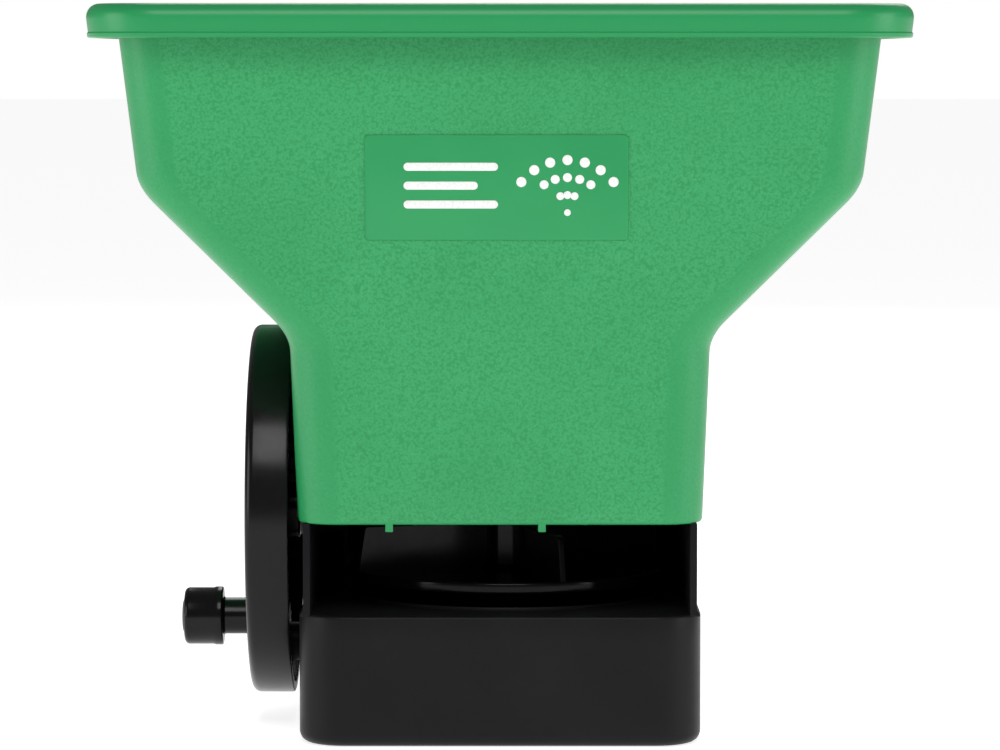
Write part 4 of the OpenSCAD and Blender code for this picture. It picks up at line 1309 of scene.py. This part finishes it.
@dataclass
class Studio:
    """Pale floor, soft lights and the camera."""

    lens: float = 156.4
    eye: Point = (0.0, -1356.0, 206.6)
    tilt: float = 4.19
    floor_colour: Colour = (0.93, 0.93, 0.93)
    floor_glow: float = 0.76
    sky_light: float = 0.2

    def build(self) -> None:
        """Makes the floor, the lights, the sky and the camera."""
        self.build_floor()
        self.light("key", (0.0, -1.3, 1.4), 0.8, 10.5)
        self.light("left", (-1.4, -0.55, 0.45), 0.8, 6.5)
        self.light("right", (1.4, -0.55, 0.45), 0.8, 6.5)
        self.light("back", (0.2, 1.4, 1.2), 1.0, 9.0)
        self.build_sky()
        bpy.context.scene.view_settings.view_transform = "Standard"
        self.build_camera()

    def build_sky(self) -> None:
        """Makes a sky that gives a dim even light and looks white behind the spreader."""
        world = bpy.data.worlds.new("sky")
        world.use_nodes = True
        nodes, links = world.node_tree.nodes, world.node_tree.links
        background = nodes["Background"]
        background.inputs["Color"].default_value = (1, 1, 1, 1)
        seen = nodes.new("ShaderNodeLightPath")
        level = nodes.new("ShaderNodeMapRange")
        level.inputs["To Min"].default_value = self.sky_light
        level.inputs["To Max"].default_value = 1.0
        links.new(seen.outputs["Is Camera Ray"], level.inputs["Value"])
        links.new(level.outputs["Result"], background.inputs["Strength"])
        bpy.context.scene.world = world

    def build_floor(self) -> None:
        """Makes a wide plain floor."""
        deselect_all()
        bpy.ops.mesh.primitive_plane_add(size=40.0, location=(0, 0, -0.2 * MM))
        floor = bpy.context.object
        floor.name = "studio_floor"
        graph = Graph("studio_floor")
        shade = graph.noise(400.0).ramp(0.2, 0.8)
        dim = tuple(channel * 0.985 for channel in self.floor_colour)
        floor.data.materials.append(graph.surface(
            base_color=graph.mix(shade, self.floor_colour, dim), roughness=0.7,
            emission_color=(1.0, 1.0, 1.0, 1.0), emission_strength=self.floor_glow))

    def light(self, name: str, place: Point, size: float, power: float) -> None:
        """Adds a square soft light aimed at the spreader, in metres and watts."""
        deselect_all()
        target = Vector((0, 0, 0.12))
        away = Vector(place) - target
        bpy.ops.object.light_add(type="AREA", location=place,
                                 rotation=away.to_track_quat("Z", "Y").to_euler())
        lamp = bpy.context.object
        lamp.name = name
        lamp.data.size = size
        lamp.data.energy = power

    def build_camera(self) -> None:
        """Adds the camera."""
        deselect_all()
        bpy.ops.object.camera_add(location=[c * MM for c in self.eye],
                                  rotation=(math.radians(90 - self.tilt), 0, 0))
        camera = bpy.context.object
        camera.name = "camera"
        camera.data.lens = self.lens
        camera.data.sensor_width = 36.0
        camera.data.clip_end = 100.0
        bpy.context.scene.camera = camera


# ---------------------------------------------------------------- assembly


# Painted shade: the steel spinner shaft and the drive pinion get black finishes in place of their
# slots' colours, standing in for the shade where they sit.
PAINTED_SHADE_FINISH = {"drive_pinion": "black_plastic", "spinner_shaft": "black_gloss"}


def dress_frame(frame: dict[str, Any], shelf: Shelf) -> None:
    """Gives every CAD node the finish of its slot, or a black finish that paints shade on the nodes
    that sit in shadow.
    """
    for subpart in frame["record"]["subparts"]:
        node = frame["nodes"][subpart["node"]]
        node.data.materials.clear()
        slot = PAINTED_SHADE_FINISH.get(subpart["node"], subpart["material_slot"])
        node.data.materials.append(shelf.take(slot))


def main() -> None:
    """Builds the whole spreader around its frame."""
    logging.basicConfig(level=logging.INFO, format="%(message)s")
    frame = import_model()
    Studio().build()
    shelf = Shelf()
    dress_frame(frame, shelf)
    for assembly in (Hopper, Housing, Crank, Spinner, Grip):
        assembly(shelf).build()
        LOG.info("%s done", assembly.__name__)


if __name__ == "__main__":
    main()
